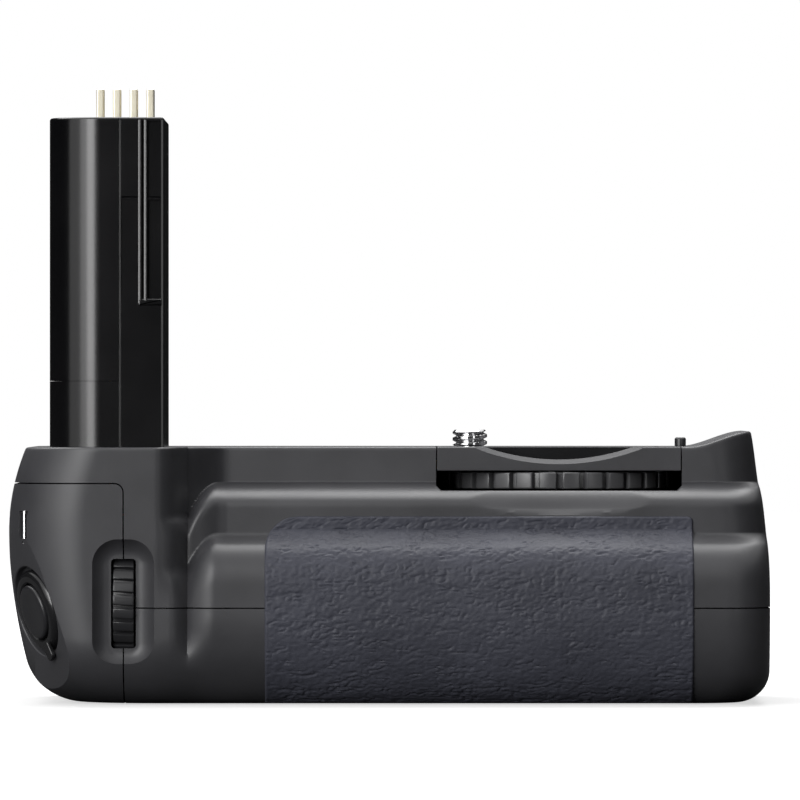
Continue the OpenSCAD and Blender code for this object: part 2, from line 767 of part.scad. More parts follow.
module end_cover() {
    color("#2a2b2f") difference() {
        intersection() {
            body_wall() {
                dial_backing();
                on_release() {
                    translate([-far / 2, -far / 2, release_wall_s]) cube(far);
                    for (s = [-1, 1]) translate([0, s * (release_board_r + 0.5), release_board_s])
                        cylinder(r = release_post_r, h = release_wall_s - release_board_s + 1);
                }
                for (p = side_posts) rod_y(p.x, p.y, side_board_y + board_t, far, side_post_r);
            }
            box([-far, -far, -far], [end_x - seam_gap / 2, far, end_z - seam_gap / 2]);
        }
        on_release() {
            translate([-far / 2, -far / 2, facet_s]) cube(far);
            translate([0, 0, recess_s]) cylinder(r = recess_r, h = far);
            translate([0, 0, release_wall_s - 1]) cylinder(r = release_r + button_gap, h = wall + 2);
        }
        on_bar() {
            translate([-bar_slot_in, -bar_slot_w / 2, -bar_h / 2]) cube([wall + 2, bar_slot_w, bar_h]);
            translate([0, 0, -bar_h / 2 - bar_hold]) cylinder(r = bar_r + seat_fit, h = bar_h + 2 * bar_hold);
        }
        rod_y(rear_button_x, rear_button_z, body_back - wall - 1, far, rear_button_r + button_gap);
        dial_cut();
        dial_room();
    }
}

// Plan of the column, inset by i
module tower_plan(i) {
    x = [tower_x0 + i, tower_x1 - i];
    y = [tower_y0 + i, tower_y1 - i];
    corners = [[0, 0, tower_round - i], [1, 0, tower_corner - i], [0, 1, tower_corner - i],
        [1, 1, tower_corner - i]];
    difference() {
        translate([x[0], y[0]]) square([x[1] - x[0], y[1] - y[0]]);
        for (c = corners) translate([x[c[0]] - c[0] * c[2], y[c[1]] - c[1] * c[2]]) square(c[2]);
    }
    for (c = corners) translate([x[c[0]] + (1 - 2 * c[0]) * c[2], y[c[1]] + (1 - 2 * c[1]) * c[2]])
        circle(r = c[2]);
}

// Thin column shell, closed at the top, with the contacts' slots
module tower_shell() {
    difference() {
        translate([0, 0, seat_z - tower_sink]) linear_extrude(tower_h + tower_sink) tower_plan(0);
        translate([0, 0, seat_z - 1]) linear_extrude(tower_h + 1 - tower_wall) tower_plan(tower_wall);
        blades(blade_gap);
    }
}

// Contact blades, grown by g on each side
module blades(g) {
    for (i = [0:blade_n - 1]) let (x = blade_x0 + i * blade_pitch)
        box([x - blade_w / 2 - g, blade_y0 - g, tower_z1 - tower_wall - block_h],
            [x + blade_w / 2 + g, blade_y0 + blade_d + g, tower_z1 + blade_rise + g]);
}

// Way of the flex lead through the column's foot
module flex_opening() {
    box([flex_x - flex_room, flex_y0 - flex_side, 0], [flex_x + flex_room, flex_y1 + flex_side, seat_z + 5]);
}

module tower_frame() {
    color("#232427") difference() {
        union() {
            intersection() {
                tower_shell();
                union() {
                    box([tower_cut_x + seam_gap / 2, -far, 0], [far, far, far]);
                    box([-far, -far, 0], [far, far, tower_cut_z - seam_gap / 2]);
                }
            }
            translate([0, 0, seat_z - tower_sink]) linear_extrude(tower_floor + tower_sink)
                tower_plan(tower_wall / 2);
            box([tower_x0 + foot_in, tower_y0 + foot_in, foot_z0],
                [tower_x1 - foot_in, tower_y1 - foot_in, seat_z + 1]);
        }
        flex_opening();
        for (y = tower_screw_y) rod(tower_screw_x, y, 0, tower_screw_top + eps, case_screw_r + seat_fit);
        box([inset_x0, tower_y0 - 1, inset_z0], [inset_x1, tower_y0 + inset_depth, inset_z1]);
    }
}

module tower_cover() {
    color("#232427") intersection() {
        tower_shell();
        box([-far, -far, tower_cut_z + seam_gap / 2], [tower_cut_x - seam_gap / 2, far, far]);
    }
}

module tower_plate() {
    color("silver") difference() {
        box([tower_x0 + tower_plate_in, tower_y0 + tower_plate_front, tower_plate_z0],
            [tower_x1 - tower_plate_in, tower_y1 - tower_plate_in, foot_z0]);
        flex_opening();
        for (y = tower_screw_y) rod(tower_screw_x, y, 0, far, case_screw_r + screw_clear);
    }
}

module tower_screws() {
    color("dimgray") for (y = tower_screw_y) {
        rod(tower_screw_x, y, tower_plate_z0 - screw_head_t, tower_plate_z0, case_head_r);
        rod(tower_screw_x, y, tower_plate_z0 - eps, tower_screw_top, case_screw_r);
    }
}

module contact_block() {
    color("#1b1b1d") difference() {
        box([blade_x0 - block_margin, blade_y0 - block_margin, block_z0],
            [tower_x1 - tower_wall, blade_y0 + blade_d + 2 * block_margin, tower_z1 - tower_wall]);
        blades(0);
    }
}

module contact_blades() {
    color("gold") blades(0);
}

module tower_flex() {
    color("darkorange") {
        box([flex_x - flex_t, flex_y0, flex_z], [flex_x, flex_y1, block_z0]);
        box([flex_x - flex_t, flex_y0, flex_z], [board_x0 + 3, flex_y1, flex_z + flex_t]);
        box([board_x0 + 2, flex_y0, board_z0 + board_t], [board_x0 + 3, flex_y1, flex_z + eps]);
    }
}

module wheel_cover() {
    color("#2a2b2f") difference() {
        union() {
            box([-plate_left, -band_front, plate_z0], [plate_x1, plate_step_y, seat_z]);
            box([-plate_left, plate_step_y - eps, plate_z0], [plate_step_x, plate_back, seat_z]);
        }
        rod(0, 0, plate_z0 - 1, pocket_z1, gear_module * (screw_gear_n / 2 + gear_tip) + gear_room);
        rod(wheel_x, wheel_y, plate_z0 - 1, pocket_z1,
            gear_module * (wheel_gear_n / 2 + gear_tip) + gear_room);
        rod(0, 0, plate_z0, far, neck_r + run_gap);
        rod(wheel_x, wheel_y, plate_z0, axle_top + screw_clear, axle_r + seat_fit);
        rod_y(wheel_x, seat_z - lens_scoop + lens_r, -far, plate_step_y - 2, lens_r);
        for (p = posts) {
            rod(p.x, p.y, plate_z0 - 1, far, cover_screw_r + run_gap);
            rod(p.x, p.y, cover_head_z0, far, cover_head_r + screw_clear);
        }
    }
}

module cover_screws() {
    color("dimgray") for (p = posts) {
        rod(p.x, p.y, cover_head_z0, cover_head_z1, cover_head_r);
        rod(p.x, p.y, deck_z1 + 2 * deck_gap, cover_head_z0 + eps, cover_screw_r);
    }
}

module chassis_plate() {
    color("silver") difference() {
        union() {
            intersection() {
                rod(wheel_x, wheel_y, deck_z0, deck_z1, deck_edge_r);
                box([-plate_left, -far, 0], [plate_x1, far, far]);
            }
            box([-plate_left, wheel_y, deck_z0], [plate_step_x, plate_back, deck_z1]);
            for (p = posts) rod(p.x, p.y, chamber_z1, plate_z0, post_r);
            rod(wheel_x, wheel_y - front_post, chamber_z1, deck_z1, post_r);
        }
        rod(wheel_x, wheel_y, deck_z0 - 1, deck_z1 + 1, axle_r + seat_fit);
        for (p = posts) rod(p.x, p.y, deck_z1 + deck_gap, far, cover_screw_r + seat_fit);
        for (x = [wheel_x - notch_x, wheel_x + notch_x]) box([x - notch_half, -far, 0],
            [x + notch_half, wheel_y - sqrt(pow(deck_edge_r, 2) - pow(notch_x, 2)) + notch_in, far]);
    }
}

module wheel_axle() {
    color("silver") {
        rod(wheel_x, wheel_y, deck_z0 - axle_head_t, deck_z0, axle_r + axle_head);
        rod(wheel_x, wheel_y, deck_z0 - eps, axle_top, axle_r);
    }
}

module thumbwheel() {
    color("#1c1c1f") difference() {
        translate([wheel_x, wheel_y, wheel_z0]) union() {
            toothed_disc(wheel_r, wheel_t, wheel_grips, grip_depth, grip_share);
            cylinder(r = hub_r, h = gear_z0 - wheel_z0);
        }
        rod(wheel_x, wheel_y, wheel_z0 - 1, gear_z0 + 1, axle_r + run_gap);
    }
}

module wheel_gear() {
    color("goldenrod") translate([wheel_x, wheel_y, gear_z0]) difference() {
        rotate(mesh_angle + 180 + 180 / wheel_gear_n) linear_extrude(gear_t) gear_2d(wheel_gear_n);
        translate([0, 0, -1]) cylinder(r = axle_r + run_gap, h = gear_t + 2);
    }
}

module camera_screw() {
    z1 = seat_z + screw_rise - screw_lead;
    color("silver") {
        rod(0, 0, gear_z0 - screw_clear, neck_top + eps, neck_r);
        rod(0, 0, neck_top, z1, thread_r);
        translate([0, 0, z1]) cylinder(r1 = thread_r, r2 = thread_r - screw_lead, h = screw_lead);
    }
}

module screw_gear() {
    color("goldenrod") translate([0, 0, gear_z0]) difference() {
        rotate(mesh_angle) linear_extrude(gear_t) gear_2d(screw_gear_n);
        translate([0, 0, -1]) cylinder(r = neck_r + seat_fit, h = gear_t + 2);
    }
}

module locating_pin() {
    color("#1c1c1f") {
        rod(pin_x, pin_y, foot_z0 - pin_foot, foot_z0, pin_r + pin_shoulder + pin_foot);
        rod(pin_x, pin_y, foot_z0 - eps, pin_shoulder_z1, pin_r + pin_shoulder);
        rod(pin_x, pin_y, pin_shoulder_z1 - eps, neck_top + eps, pin_r - pin_neck);
        rod(pin_x, pin_y, neck_top, seat_z + pin_rise, pin_r);
    }
}

module tripod_socket() {
    color("silver") difference() {
        union() {
            rod(0, 0, 0, socket_depth + socket_cap, socket_outer_r);
            rod(0, 0, wall, wall + socket_flange_t, socket_outer_r + socket_flange);
        }
        rod(0, 0, -1, socket_depth, socket_r);
    }
}

module base_pad() {
    color("#3a3b40") difference() {
        box([-base_pad_w / 2, -base_pad_d / 2, 0], [base_pad_w / 2, base_pad_d / 2, base_pad_t]);
        rod(0, 0, -1, 2, socket_outer_r + 1);
    }
}

module front_grip_pad() {
    color("#3c3e46") difference() {
        intersection() {
            body_solid(-pad_t, 4);
            box([chamber_x0 + pad_left, -far, pad_low], [chamber_x1 - pad_right, -5, chamber_z1 + pad_high]);
        }
        body_solid(-pad_gap, 4);
    }
}

module rear_thumb_pad() {
    color("#3c3e46") bar_y(thumb_pad_x, thumb_pad_z, thumb_pad_w, thumb_pad_h, thumb_pad_r,
        body_back + pad_gap, body_back + thumb_pad_t);
}

// Toothed dial with its axis along X, centred at x, y and z
module dial(x, y, z, r, teeth) {
    translate([x - dial_w / 2, y, z]) rotate([0, 90, 0]) difference() {
        toothed_disc(r, dial_w, teeth, dial_tooth, dial_share);
        translate([0, 0, -1]) cylinder(r = shaft_r + run_gap, h = dial_w + 2);
    }
}

// Encoder body right of a dial, with the shaft that carries the dial
module encoder(x, y, z, half) {
    x0 = x + dial_w / 2 + encoder_gap;
    box([x0, y - half, z - half], [x0 + encoder_w, y + half, z + half]);
    translate([x - dial_w / 2, y, z]) rotate([0, 90, 0])
        cylinder(r = shaft_r, h = dial_w + encoder_gap + eps);
}

module front_dial() {
    color("#1c1c1f") dial(end_x, dial_y, dial_z, dial_r, dial_teeth);
}

module front_encoder() {
    color("#5a6068") encoder(end_x, dial_y, dial_z, encoder_half);
}

module front_bracket() {
    x0 = end_x + dial_w / 2 + encoder_gap + encoder_w;
    x1 = x0 + bracket_t;
    y1 = dial_y + encoder_half;
    color("silver") {
        box([x0, dial_y - encoder_half, dial_z - encoder_half], [x1, y1, dial_z + encoder_half]);
        box([x0, dial_y + encoder_gap, wall], [x1, y1, dial_z]);
        box([x0, dial_y + encoder_gap, wall], [x0 + bracket_foot, y1, wall + bracket_t]);
    }
}

module rear_dial() {
    color("#1c1c1f") dial(rear_dial_x, rear_dial_y, rear_dial_z, rear_dial_r, rear_dial_teeth);
}

module rear_encoder() {
    color("#5a6068") encoder(rear_dial_x, rear_dial_y, rear_dial_z, rear_encoder_half);
}

module rear_bracket() {
    x0 = rear_dial_x + dial_w / 2 + encoder_gap + encoder_w;
    y0 = rear_dial_y - rear_encoder_half;
    y1 = rear_dial_y + rear_encoder_half;
    color("silver") {
        box([x0, y0, rear_dial_z - rear_encoder_half], [x0 + bracket_t, y1, foot_z0]);
        box([x0, y0, foot_z0 - bracket_t], [x0 + bracket_foot, y1, foot_z0]);
    }
}

module shutter_button() {
    color("#1c1c1f") on_release() {
        translate([0, 0, release_wall_s - flange_gap - flange_t]) cylinder(r = flange_r, h = flange_t);
        translate([0, 0, release_wall_s - 2 * flange_gap])
            cylinder(r = release_r, h = release_top_s - release_wall_s + 2 * flange_gap);
    }
}

module lock_collar() {
    color("#1c1c1f") on_release() difference() {
        union() {
            translate([0, 0, recess_s + flange_gap]) cylinder(r = collar_r, h = collar_t);
            rotate(tab_turn) translate([tab_in, -tab_w / 2, facet_s + 2 * flange_gap])
                cube([tab_l, tab_w, tab_t]);
        }
        translate([0, 0, recess_s - 1]) cylinder(r = release_r + collar_gap, h = collar_t + 4);
    }
}

module shutter_switch() {
    color("#c8ccd0") on_release() translate([-switch_w / 2, -switch_w / 2, release_board_s])
        cube([switch_w, switch_w, switch_h]);
}

module shutter_board() {
    color("darkgreen") on_release() translate([0, 0, release_board_s - board_t])
        cylinder(r = release_board_r + 1.8, h = board_t);
}

module rear_button() {
    y1 = body_back - wall - flange_gap;
    color("#1c1c1f") {
        rod_y(rear_button_x, rear_button_z, y1 - rear_flange_t, y1, rear_button_r + rear_flange);
        rod_y(rear_button_x, rear_button_z, y1 - rear_flange_t, body_back + rear_button_reach, rear_button_r);
    }
}

module rear_switch() {
    y1 = body_back - wall - flange_gap - rear_flange_t - rear_button_travel - rear_switch_gap;
    color("#c8ccd0") box([rear_button_x - switch_w / 2, side_board_y + board_t, rear_button_z - switch_w / 2],
        [rear_button_x + switch_w / 2, y1, rear_button_z + switch_w / 2]);
}

module left_board() {
    color("darkgreen") box([side_board_x0, side_board_y, side_board_z0],
        [side_board_x1, side_board_y + board_t, side_board_z1]);
}

module strap_bar() {
    color("silver") on_bar() translate([0, 0, -bar_h / 2 - bar_hold])
        cylinder(r = bar_r, h = bar_h + 2 * bar_hold);
}

module case_screws() {
    color("dimgray") for (i = [0:3]) {
        rod(case_screw_x[i], case_screw_y[i], case_head_z0, case_head_z1, case_head_r);
        rod(case_screw_x[i], case_screw_y[i], case_head_z1 - eps, case_screw_top, case_screw_r);
    }
}

module main_board() {
    color("darkgreen") box([board_x0, board_y0, board_z0], [board_x1, board_y1, board_z0 + board_t]);
}

// Tub of the chamber, open at the back and closed above by its roof
module battery_chamber() {
    color("#34353a") difference() {
        box([chamber_x0, chamber_y0, chamber_lift], [chamber_x1, chamber_y1, chamber_z1 - chamber_wall]);
        box([chamber_x0 + chamber_wall, chamber_y0 + chamber_wall, chamber_lift + chamber_wall],
            [chamber_x1 - chamber_wall, far, far]);
    }
}

module chamber_roof() {
    color("#34353a") {
        box([chamber_x0, chamber_y0, chamber_z1 - chamber_wall], [chamber_x1, chamber_y1, chamber_z1]);
        for (x = [board_x0 + 2 * board_post_r, board_x1 - 2 * board_post_r],
            y = [board_y0 + 6 * board_post_r, board_y1 - 2 * board_post_r])
            rod(x, y, chamber_z1 - eps, board_z0, board_post_r);
    }
}

module battery_tray() {
    color("#34353a") difference() {
        box([tray_x0, tray_y0, tray_z0], [tray_x1, cover_y0, pack_z0 + pack_t * tray_share]);
        for (i = [0, 1]) let (x = tray_x0 + tray_wall + i * (bay_w + tray_wall))
            box([x, tray_y0 + tray_wall, pack_z0], [x + bay_w, far, far]);
    }
}

module tray_cover() {
    color("#2a2b2f") difference() {
        bar_y((cover_x0 + cover_x1) / 2, (cover_z0 + cover_z1) / 2, cover_x1 - cover_x0, cover_z1 - cover_z0,
            cover_corner, cover_y0, body_back);
        rod_y(key_x, key_z, -far, far, key_shaft_r + run_gap);
        rod_y(key_x, key_z, key_y0 - flange_gap, far, key_r + key_gap);
    }
}

module battery_packs() {
    color("#55585f") for (i = [0, 1]) let (x = tray_x0 + tray_wall + pack_gap + i * (bay_w + tray_wall))
        bar_y(x + pack_w / 2, pack_z0 + pack_t / 2, pack_w, pack_t, pack_corner, pack_y0, pack_y0 + pack_l);
}

module tray_contacts() {
    color("gold") for (i = [0, 1], k = [-1, 0, 1])
        let (x = tray_x0 + tray_wall + bay_w / 2 + i * (bay_w + tray_wall) + k * contact_pitch)
        box([x - contact_w / 2, tray_y0 + tray_wall, pack_z0 + contact_lift],
            [x + contact_w / 2, tray_y0 + tray_wall + pack_gap * 3 / 4, pack_z0 + contact_lift + contact_h]);
}

module latch_key() {
    color("#1c1c1f") {
        rod_y(key_x, key_z, key_y0, key_y1, key_r);
        box([key_x - key_bar_half, key_y1 - eps, key_z - key_r + key_bar_in],
            [key_x + key_bar_half, key_bar_y1, key_z + key_r - key_bar_in]);
        rod_y(key_x, key_z, cam_y1 - cam_t, key_y0 + eps, key_shaft_r);
    }
}

module latch_cam() {
    color("silver") difference() {
        union() {
            rod_y(key_x, key_z, cam_y1 - cam_t, cam_y1, cam_hub_r);
            box([key_x - cam_half, cam_y1 - cam_t, key_z], [key_x + cam_half, cam_y1, key_z + cam_l]);
        }
        rod_y(key_x, key_z, -far, far, key_shaft_r + seat_fit);
    }
}

upper_case();
lower_case();
end_cover();
tower_frame();
tower_cover();
tower_plate();
tower_screws();
contact_block();
contact_blades();
tower_flex();
wheel_cover();
cover_screws();
chassis_plate();
wheel_axle();
thumbwheel();
wheel_gear();
camera_screw();
screw_gear();
locating_pin();
tripod_socket();
base_pad();
front_grip_pad();
rear_thumb_pad();
front_dial();
front_encoder();
front_bracket();
rear_dial();
rear_encoder();
rear_bracket();
shutter_button();
lock_collar();
shutter_switch();
shutter_board();
rear_button();
rear_switch();
left_board();
strap_bar();
case_screws();
main_board();
battery_chamber();
chamber_roof();
battery_tray();
tray_cover();
battery_packs();
tray_contacts();
latch_key();
latch_cam();
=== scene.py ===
"""Looks of the camera battery grip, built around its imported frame.

Shapes are worked out in millimetres in the frame of the part (origin on the camera screw's axis at
the base, +X right, -Y front, +Z up) and turned into metres when a mesh is made.
"""
import math

import bpy
import numpy as np
from mathutils import Matrix, Vector


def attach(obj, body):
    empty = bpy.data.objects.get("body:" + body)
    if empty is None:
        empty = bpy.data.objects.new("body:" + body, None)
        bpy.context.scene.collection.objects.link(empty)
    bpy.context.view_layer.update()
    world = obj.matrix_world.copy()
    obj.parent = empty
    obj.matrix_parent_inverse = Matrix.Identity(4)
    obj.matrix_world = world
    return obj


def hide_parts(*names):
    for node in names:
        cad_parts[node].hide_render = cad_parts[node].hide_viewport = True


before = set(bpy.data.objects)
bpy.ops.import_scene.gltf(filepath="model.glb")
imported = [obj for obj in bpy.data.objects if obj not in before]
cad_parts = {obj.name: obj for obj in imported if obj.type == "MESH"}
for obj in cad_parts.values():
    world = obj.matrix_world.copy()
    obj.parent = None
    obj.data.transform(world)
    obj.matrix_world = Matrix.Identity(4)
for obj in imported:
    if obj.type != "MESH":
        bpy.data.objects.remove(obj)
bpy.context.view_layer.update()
MM = 0.001
FAR = 200.0
QUARTER, TURN = math.pi / 2, 2 * math.pi
BEVEL_STEPS = 3

# Angles past which shading is sharp
SHARP, SMOOTH, RIB_SHARP, TOOTH_SHARP, WHEEL_SHARP, THREAD_SHARP, PAD_SHARP = 32, 35, 25, 28, 30, 40, 60

# Sizes of the body in millimetres, as in the part's source
BODY_LEFT, BODY_RIGHT, BODY_FRONT, BODY_BACK = 83.9, 54.2, 38.0, 31.0
SEAT_Z, SPLIT_Z, WALL = 46.5, 17.5, 2.2
BAND_FRONT, STEP_FRONT = 22.0, 30.5
STEP1_TOP, STEP1_H, STEP2_TOP, STEP2_H = 39.7, 4.0, 30.1, 8.0
STEP_SOFT, PAD_SOFT, INSET_RISE = 0.12, 0.2, 0.6
WAIST_Z, LEFT_SWEEP, LEFT_LEAN, RIGHT_LEAN, LEAN_POWER = 31.5, 5.2, 3.1, 3.0, 2.4
CORNER_FL, CORNER_FR, CORNER_B = 14.0, 8.0, 6.0
FILLET_FRONT, FILLET_TALL, FILLET_BACK, FILLET_LEFT, FILLET_RIGHT = 12.0, 17.0, 4.0, 8.0, 6.0
FILLET_TOP, TOP_STEPS = 0.45, 4
BLOCK_X0, BLOCK_X1 = -57.0, -44.0
GROOVE_X, GROOVE_LEFT, GROOVE_RIGHT, GROOVE_DEPTH = -51.3, 3.2, 5.0, 2.4
GROOVE_Z0, GROOVE_FADE = 6.0, 8.0
CORNER_DROP, CORNER_RUN = 6.0, 5.5
HORN_X, HORN_END, HORN_RISE = 39.5, 51.5, 2.9
END_X, END_Z, END_ROUND = -62.8, 40.0, 1.6
SEAM = 0.24
OUTER_INSET = 0.5
CASE_SCREWS = [(46.4, -14.0), (46.4, 16.0), (-48.0, -4.0), (-48.0, 10.0)]
POST_R, SINK_R, SINK_Z, SCREW_HOLE_R = 2.6, 2.2, 2.0, 1.2

# Wheel, its cover and the screw
WHEEL = np.array([16.1233, -3.0])
WHEEL_R, WHEEL_T, WHEEL_Z0, WHEEL_GRIPS, GRIP_DEPTH = 21.0, 3.0, 38.9, 30, 1.4
SLOT_Z0, PLATE_Z0, PLATE_LEFT, PLATE_RIGHT = 38.6, 42.2, -6.1, 38.2233
SLOT_CHAMFER, SLOT_BACK, OPENING_FRONT = 0.9, -16.5, -17.5
PLATE_STEP_X, PLATE_STEP_Y, PLATE_BACK, PLATE_GAP = 34.5233, -12.0, 18.0, 0.22
GEAR_ROOMS, GEAR_ROOM_TOP = [(0.0, 0.0, 9.8), (*WHEEL, 9.4)], 44.2
NECK_HOLE_R, AXLE_HOLE_R, PLATE_HOLE_R, PLATE_SINK_R, PLATE_SINK = 2.45, 2.02, 0.85, 1.65, 1.2
PLATE_SCREWS = [(-4.0, 14.0), (PLATE_STEP_X - 2.0, 15.5)]
LEDGE_R, LEDGE_Z0, LEDGE_Z1, LEDGE_BACK = 22.75, 37.1, 38.7, -12.0
LENS_R, LENS_SCOOP, LENS_BACK, LENS_LIP = 41.0, 2.3, 14.0, 0.85
SCOOP_Z, SCOOP_HALF_W, SCOOP_HALF_H, SCOOP_DEPTH = 36.9, 16.0, 2.6, 1.5
PIN = (38.9233, 6.0)
PIN_R, PIN_SHOULDER_R = 1.05, 1.6
PITCH, THREAD_ROOT_R, THREAD_R = 1.27, 2.55, 3.175

# Controls
DIAL_Z, DIAL_Y, DIAL_R, DIAL_W, DIAL_TEETH = 18.3, -25.3, 12.0, 3.8, 31
DISH_W, DISH_H, DISH_R, DISH_DEPTH, DISH_RUN = 11.2, 23.3, 4.6, 2.0, 3.0
DIAL_SLOT_W, DIAL_SLOT_H, DIAL_SLOT_ROUND, DIAL_SLOT_DEPTH, DIAL_PLAY = 4.5, 16.2, 0.7, 6.0, 0.3
REAR_DIAL = np.array([-52.2, 22.7, 34.0])
REAR_DIAL_R, REAR_DIAL_TEETH = 9.5, 25
RELEASE = Vector((-78.2, -28.2, 16.9))
RELEASE_LEAN, RELEASE_TURN = 15.0, 205.8
FACET_S, RECESS_S, RECESS_R, RECESS_LIP, RECESS_FILLET = 0.8, -0.6, 8.4, 0.35, 0.4
RELEASE_R, RELEASE_TOP, RELEASE_ROUND, FLANGE_R = 5.0, 1.6, 0.55, 6.0
COLLAR_R, COLLAR_ROUND, COLLAR_H, TAB_TURN = 7.6, 1.3, 1.6, 24.0
REAR_BUTTON_X, REAR_BUTTON_Z, REAR_BUTTON_R, REAR_HOLE_R = -71.0, 31.0, 3.2, 3.35
STRAP_ANGLE, STRAP_Z, STRAP_H, STRAP_R = 214.0, 32.5, 5.0, 0.5

# Battery column
TOWER_X0, TOWER_X1, TOWER_Y0, TOWER_Y1 = -76.6, -55.6, -31.0, 8.5
TOWER_TOP, TOWER_CUT_X, TOWER_CUT_Z = 106.3, -63.8, 58.5
TOWER_ROUND, TOWER_EDGE, TOWER_CORNER = 9.5, 0.7, 2.0
TOWER_SINK, TOWER_PLAY, TOWER_WELL, TOWER_FOOT, TOWER_WALL = 0.6, 0.15, 3.05, 3.2, 1.6
WELL_Z, FOOT_Z = 40.0, 44.3
COVER_GAP, FRAME_GAP = -0.04, 0.03
TOWER_SCREW_X, TOWER_SCREW_Y, TOWER_SCREW_R = -61.6, (-24.0, 0.5), 1.13
FLEX_SLOT = ((-66.6, -18.5, WELL_Z), (-64.6, -10.5, 51.5))
BLADE_X = [-67.55 + 3.05 * k for k in range(4)]
BLADE_Y0, BLADE_DEPTH, BLADE_HALF, BLADE_Z0, BLADE_TOP, BLADE_PLAY = -18.0, 5.0, 0.7, 98.7, 111.8, 0.15

# Relief of the column's front: left, right, low and high edges, with the depth of the panels
PANELS = [(-58.62, -56.0, 73.45, 91.35, 0.8), (-58.62, -56.0, 92.0, 105.6, 0.5),
          (-59.62, -59.22, 73.45, 105.6, 0.45), (-63.55, -60.3, 72.75, 91.45, 0.22)]
PANEL_ROUND = 0.3
NOTCH_X0, NOTCH_X1, NOTCH_Z, NOTCH_HALF, NOTCH_DEPTH = -63.3, -55.9, 91.7, 0.25, 0.3
SILL, RIB_RISE, RIB_ROOT = (-60.25, -56.0, 72.1, 73.4), 0.26, 0.3

# Upright ribs of the column: x and height along the crest, then the lower end
RIBS = [([(-60.25, 0.2), (-59.9, RIB_RISE), (-59.65, RIB_RISE)], 72.6),
        ([(-59.2, 0.2), (-58.85, RIB_RISE), (-58.65, RIB_RISE)], 72.6),
        ([(-63.75, 0.0), (-63.4, 0.03), (-63.35, 0.03)], SEAT_Z),
        ([(-56.1, 0.05), (-55.75, -0.05)], SEAT_Z)]

# Pads, base and tray cover
PAD_X0, PAD_X1, PAD_Z0, PAD_Z1, PAD_T, PAD_ROUND = -37.3, 40.2, 0.45, 34.0, 0.55, 6.0
PAD_EDGE, PAD_EDGE_T, PAD_RIGHT_ROUND, CREASE_DEPTH = 0.45, 0.06, 1.0, 0.3
PAD_COLUMNS, PAD_ROWS = 420, 230
THUMB_PAD = (-69.6, BODY_BACK, 19.0)
THUMB_W, THUMB_H, THUMB_ROUND, THUMB_T = 10.0, 15.0, 2.5, 0.8
BASE_PAD_X, BASE_PAD_Y, BASE_PAD_T, BASE_HOLE_R = 30.0, 15.0, 0.6, 7.0
TREAD_PITCH, TREAD_HALF, TREAD_REACH, TREAD_DEPTH = 3.0, 0.25, 13.5, 0.15
SOCKET_R, SOCKET_FLANGE_R, SOCKET_TOP, SOCKET_DEPTH = 6.0, 8.5, 5.4, 4.8
COVER_X0, COVER_X1, COVER_Z0, COVER_Z1, COVER_Y0 = -44.2, 48.2, 4.6, 32.6, 28.4
COVER_ROUND, TRAY_PLAY, TRAY_ROUND = 3.0, 0.5, 3.2
KEY_X, KEY_Z, KEY_STEM_R, KEY_HEAD_R = 44.2, 18.6, 1.5, 3.5


def smooth(t):
    c = np.clip(t, 0.0, 1.0)
    return c * c * (3.0 - 2.0 * c)


def quarter_area(t):
    """Area under a quarter round that starts level at 0 and ends upright at 1."""
    u = 1.0 - np.clip(t, 0.0, 1.0)
    return (QUARTER - np.arcsin(u) - u * np.sqrt(1.0 - u * u)) / 2 + np.clip(t - 1.0, 0.0, None)


def shoulder(t, soft):
    """Quarter round, evened out over soft to each side."""
    return (quarter_area(t + soft) - quarter_area(t - soft)) / (2 * soft)


def round_in(d, r):
    """How far a corner of radius r draws in at distance d from the edge."""
    e = np.clip(r - np.clip(d, 0.0, None), 0.0, None)
    return r - np.sqrt(np.clip(r * r - e * e, 0.0, None))


def left_x(z, w):
    low = np.clip((WAIST_Z - z) / WAIST_Z, 0.0, None)
    high = np.clip((z - WAIST_Z) / (SEAT_Z - WAIST_Z), 0.0, None)
    return w - BODY_LEFT + round_in(z - w, FILLET_LEFT - w) + LEFT_LEAN * high ** 2 + LEFT_SWEEP * low ** 2


def right_x(z, w):
    lean = RIGHT_LEAN * (np.clip(z - SPLIT_Z, 0.0, None) / (SEAT_Z - SPLIT_Z)) ** LEAN_POWER
    return BODY_RIGHT - w - round_in(z - w, FILLET_RIGHT - w) - lean


def step_depth(z, soft):
    return (BAND_FRONT + (STEP_FRONT - BAND_FRONT) * shoulder((STEP1_TOP - z) / STEP1_H, soft)
            + (BODY_FRONT - STEP_FRONT) * shoulder((STEP2_TOP - z) / STEP2_H, soft))


def finger_scoop(x, z):
    """Shallow finger scoop under the thumbwheel."""
    across = (x - WHEEL[0]) / SCOOP_HALF_W
    down = (SCOOP_Z - z) / SCOOP_HALF_H
    return SCOOP_DEPTH * np.clip(1.0 - across ** 2 - down ** 2, 0.0, None)


def front_y(x, z, w, detail, soft=STEP_SOFT):
    drop = CORNER_DROP * (1.0 - np.clip((x - GROOVE_X) / CORNER_RUN, 0.0, 1.0)) ** 2
    d = step_depth(z + INSET_RISE * w + drop, soft)
    share = 1.0 - smooth((x - BLOCK_X0) / (BLOCK_X1 - BLOCK_X0))
    wall = np.where(x < GROOVE_X, (GROOVE_X - x) / GROOVE_LEFT, (x - GROOVE_X) / GROOVE_RIGHT)
    groove = GROOVE_DEPTH * np.clip(1.0 - wall, 0.0, None) ** 2 * smooth((z - GROOVE_Z0) / GROOVE_FADE)
    tall = FILLET_FRONT + (FILLET_TALL - FILLET_FRONT) * (1.0 - share)
    under = round_in(z - w, tall - w) * (FILLET_FRONT - w) / (tall - w)
    y = w - d - (BODY_FRONT - d) * share + groove + under
    y = y + round_in(x - left_x(z, w), CORNER_FL - w) + round_in(right_x(z, w) - x, CORNER_FR - w)
    if detail:
        y = y + finger_scoop(x, z)
    return y


